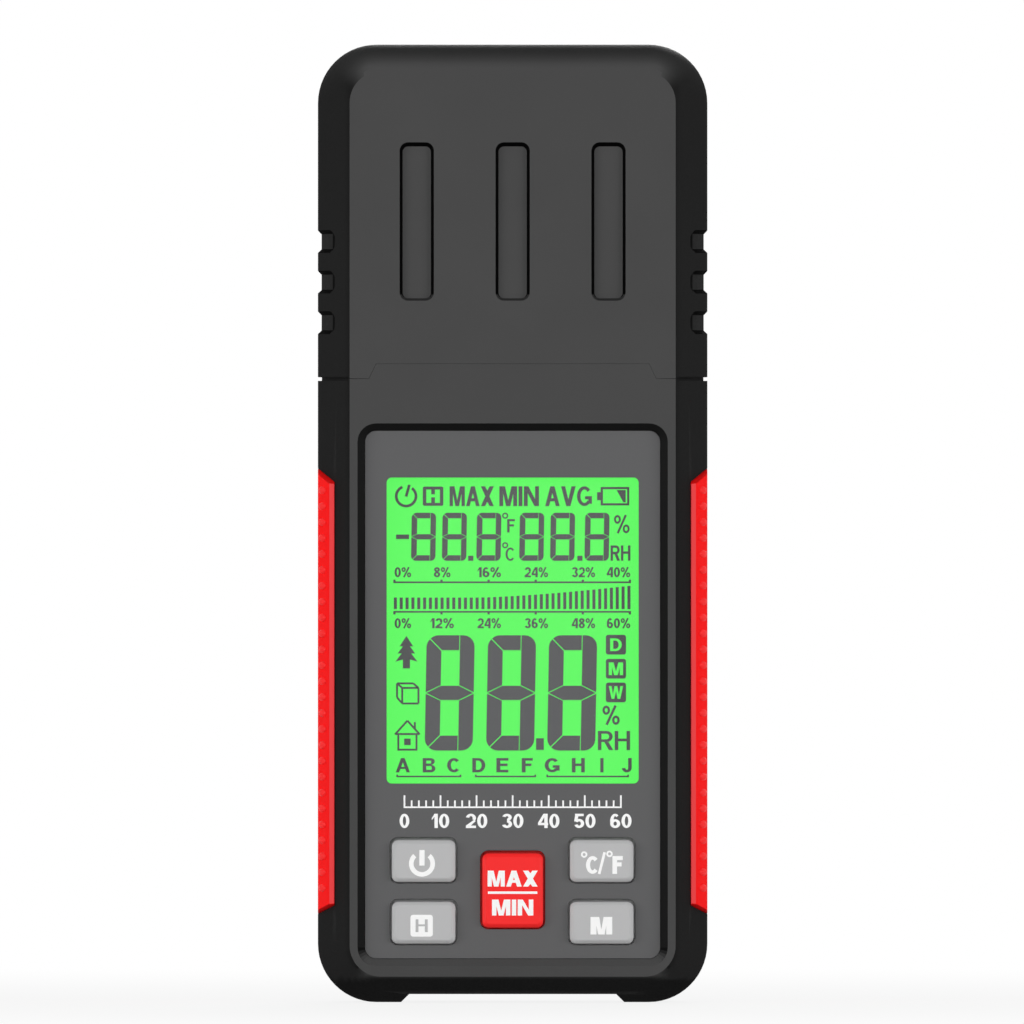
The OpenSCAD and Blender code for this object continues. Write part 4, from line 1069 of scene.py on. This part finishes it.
def grip(side):
    """The rubber with a painted highlight on its front-facing edge, its sunk side field, and its domes."""
    name = "left_grip" if side < 0 else "right_grip"
    slope = BEVEL_D / BEVEL_W
    start = (27.4, Y_FACE + slope * 2.1)
    edge = (28.4, start[1] + 0.14)
    outer = (HALF_W, edge[1] + (HALF_W - edge[0]) * slope)
    inner = 29.0
    section = [(start[0] + 0.02, start[1] + 1.3), start, (start[0] + 0.12, start[1] - 0.08),
               (edge[0] - 0.12, edge[1] - 0.06), (edge[0] + 0.12, edge[1] + 0.22),
               (outer[0] - 0.2, outer[1] - 0.34), (outer[0] - 0.04, outer[1] + 0.1), (outer[0], outer[1] + 0.5),
               (HALF_W, 7.0), (inner, 7.0), (inner, -5.5)]
    body = loft(name + "_rubber", [[(side * x, y, z) for x, y in section] for z in (GRIP_LOW, GRIP_HIGH)])
    boolean(body, along_x("grip_keep", grip_outline(-0.01), side * 20.0, side * 32.0), "INTERSECT")
    cut(body, loft("grip_field", [
        [(side * x, -4.6 - o, GRIP_LOW + 2.6 - o), (side * x, 5.8 + o, GRIP_LOW + 2.6 - o),
         (side * x, 5.8 + o, GRIP_HIGH - 2.6 + o), (side * x, -4.6 - o, GRIP_HIGH - 2.6 + o)]
        for x, o in ((HALF_W - FIELD_SUNK, 0.0), (HALF_W, 0.2), (HALF_W + 0.5, 0.2))]))
    soften(body, 0.12, 2, 28)
    place(body, "case", name, materials=[GRIP, GRIP_EDGE_HIGHLIGHT], angle=40)
    # Faces turned to the front get a lighter red, a painted highlight.
    for p in body.data.polygons:
        if p.normal.y < -0.93 and abs(p.center.x) * 1000 < edge[0] + 0.2:
            p.material_index = 1
    # domes in one column on the slope, and in four on the side's sunk field
    domes = []
    pitch = 2.45
    down = Vector((HALF_W - edge[0], outer[1] - edge[1])).normalized()
    for j in range(int((GRIP_HIGH - GRIP_LOW - 6.5) / pitch) + 1):
        z = GRIP_LOW + 3.9 + j * pitch
        at = (side * (edge[0] + down.x * 1.75), edge[1] + down.y * 1.75, z)
        domes.append((Vector(at), Vector((side * down.y, -down.x, 0)), 1.1, 0.62, 0.32))
        for y in (-3.15, -0.65, 1.85, 4.35):
            domes.append((Vector((side * (HALF_W - FIELD_SUNK), y, z)), Vector((side, 0, 0)), 0.75, 0.75, 0.28))
    made = []
    up = Vector((0, 0, 1))
    for centre, normal, wide, tall, height in domes:
        across = normal.cross(up).normalized()
        made.append(loft("dome", [
            [centre + normal * (h * height) + across * (wide * r * math.cos(math.tau * k / 16))
             + up * (tall * r * math.sin(math.tau * k / 16)) for k in range(16)]
            for r, h in ((1.0, -0.35), (1.0, 0.12), (0.88, 0.5), (0.65, 0.8), (0.35, 0.97))]))
    dot_mesh = joined(name + "_dots", made)
    # The domes' lighter red is a painted highlight.
    place(dot_mesh, "case", materials=[GRIP_DOT_HIGHLIGHT], angle=60)


for side in (-1, 1):
    grip(side)

# -------- stage, lights and camera

scene = bpy.context.scene


def camera_white(tree, shader, white, share=None):
    """Shows one shader to most light, and a white one, or a share of it, to the camera and in reflections."""
    rays = node(tree, "LightPath").outputs
    seen = rays["Is Camera Ray"]
    for ray in ("Is Glossy Ray", "Is Transmission Ray"):
        seen = node(tree, "Math", {0: seen, 1: rays[ray]}, operation="MAXIMUM").outputs[0]
    if share:
        seen = node(tree, "Math", {0: share, 1: seen}, operation="MULTIPLY").outputs[0]
    return node(tree, "MixShader", {0: seen, 1: shader.outputs[0], 2: white.outputs[0]}).outputs[0]


FLOOR_REACH = 8000
floor = make("floor", [(x * FLOOR_REACH, y * FLOOR_REACH, 0) for x, y in ((-1, -1), (1, -1), (1, 1), (-1, 1))],
             [[0, 1, 2, 3]])
floor.data.transform(Matrix.Scale(0.001, 4))
floor.location.z = -0.00002  # just below the case's underside
m, tree, base = principled("floor_pale", (0.62, 0.62, 0.62), 0.9)
glow = node(tree, "Emission", {"Color": (1, 1, 1, 1), "Strength": 1.0})
# Near the object a share of the floor's own shading shows too, and with it the object's shadow.
away = node(tree, "VectorMath", {0: node(tree, "TexCoord").outputs["Object"]}, operation="LENGTH")
share = node(tree, "MapRange", {"Value": away.outputs["Value"], "From Min": 0.05, "From Max": 0.5,
                                "To Min": 0.85, "To Max": 1.0}, interpolation_type="SMOOTHSTEP")
tree.links.new(camera_white(tree, base, glow, share.outputs["Result"]),
               tree.nodes["Material Output"].inputs["Surface"])
floor.data.materials.append(m)

world = bpy.data.worlds.new("studio")
scene.world = world
world.use_nodes = True
tree = world.node_tree
soft = tree.nodes["Background"]
soft.inputs["Color"].default_value = (1, 1, 1, 1)
soft.inputs["Strength"].default_value = 0.357
white = node(tree, "Background", {"Color": (1, 1, 1, 1), "Strength": 1.0})
tree.links.new(camera_white(tree, soft, white), tree.nodes["World Output"].inputs["Surface"])

middle = Vector((0, 0, TOP * 0.0005))
for name, where, power in (("front_softbox", (-0.1, -3.0, 0.3), 25.3),
                           ("left_softbox", (-2.7, -1.3, 0.2), 49.3),
                           ("right_softbox", (2.7, -1.3, 0.2), 49.3),
                           ("back_softbox", (0.3, 3.0, 0.8), 34.0)):
    light = bpy.data.lights.new(name, "AREA")
    light.shape = "SQUARE"
    light.size = 1.0
    light.energy = power
    obj = add(name, light)
    obj.location = where
    obj.rotation_euler = (middle - Vector(where)).to_track_quat("-Z", "Y").to_euler()
    obj.visible_camera = False

camera = bpy.data.cameras.new("camera")
camera.sensor_width = 36.0
camera.lens = 1400.0  # the photo shows no perspective
camera.clip_end = 50.0
cam = add("camera", camera)
VIEW_WIDTH = 0.1579  # what the frame takes in at the object, in metres
distance = camera.lens / camera.sensor_width * VIEW_WIDTH
aim = Vector((-0.0001, 0.0, 0.0755))
cam.location = aim + Vector((0, -distance, 0))
cam.rotation_euler = (math.radians(90), 0, 0)
scene.camera = cam
scene.view_settings.view_transform = "Standard"
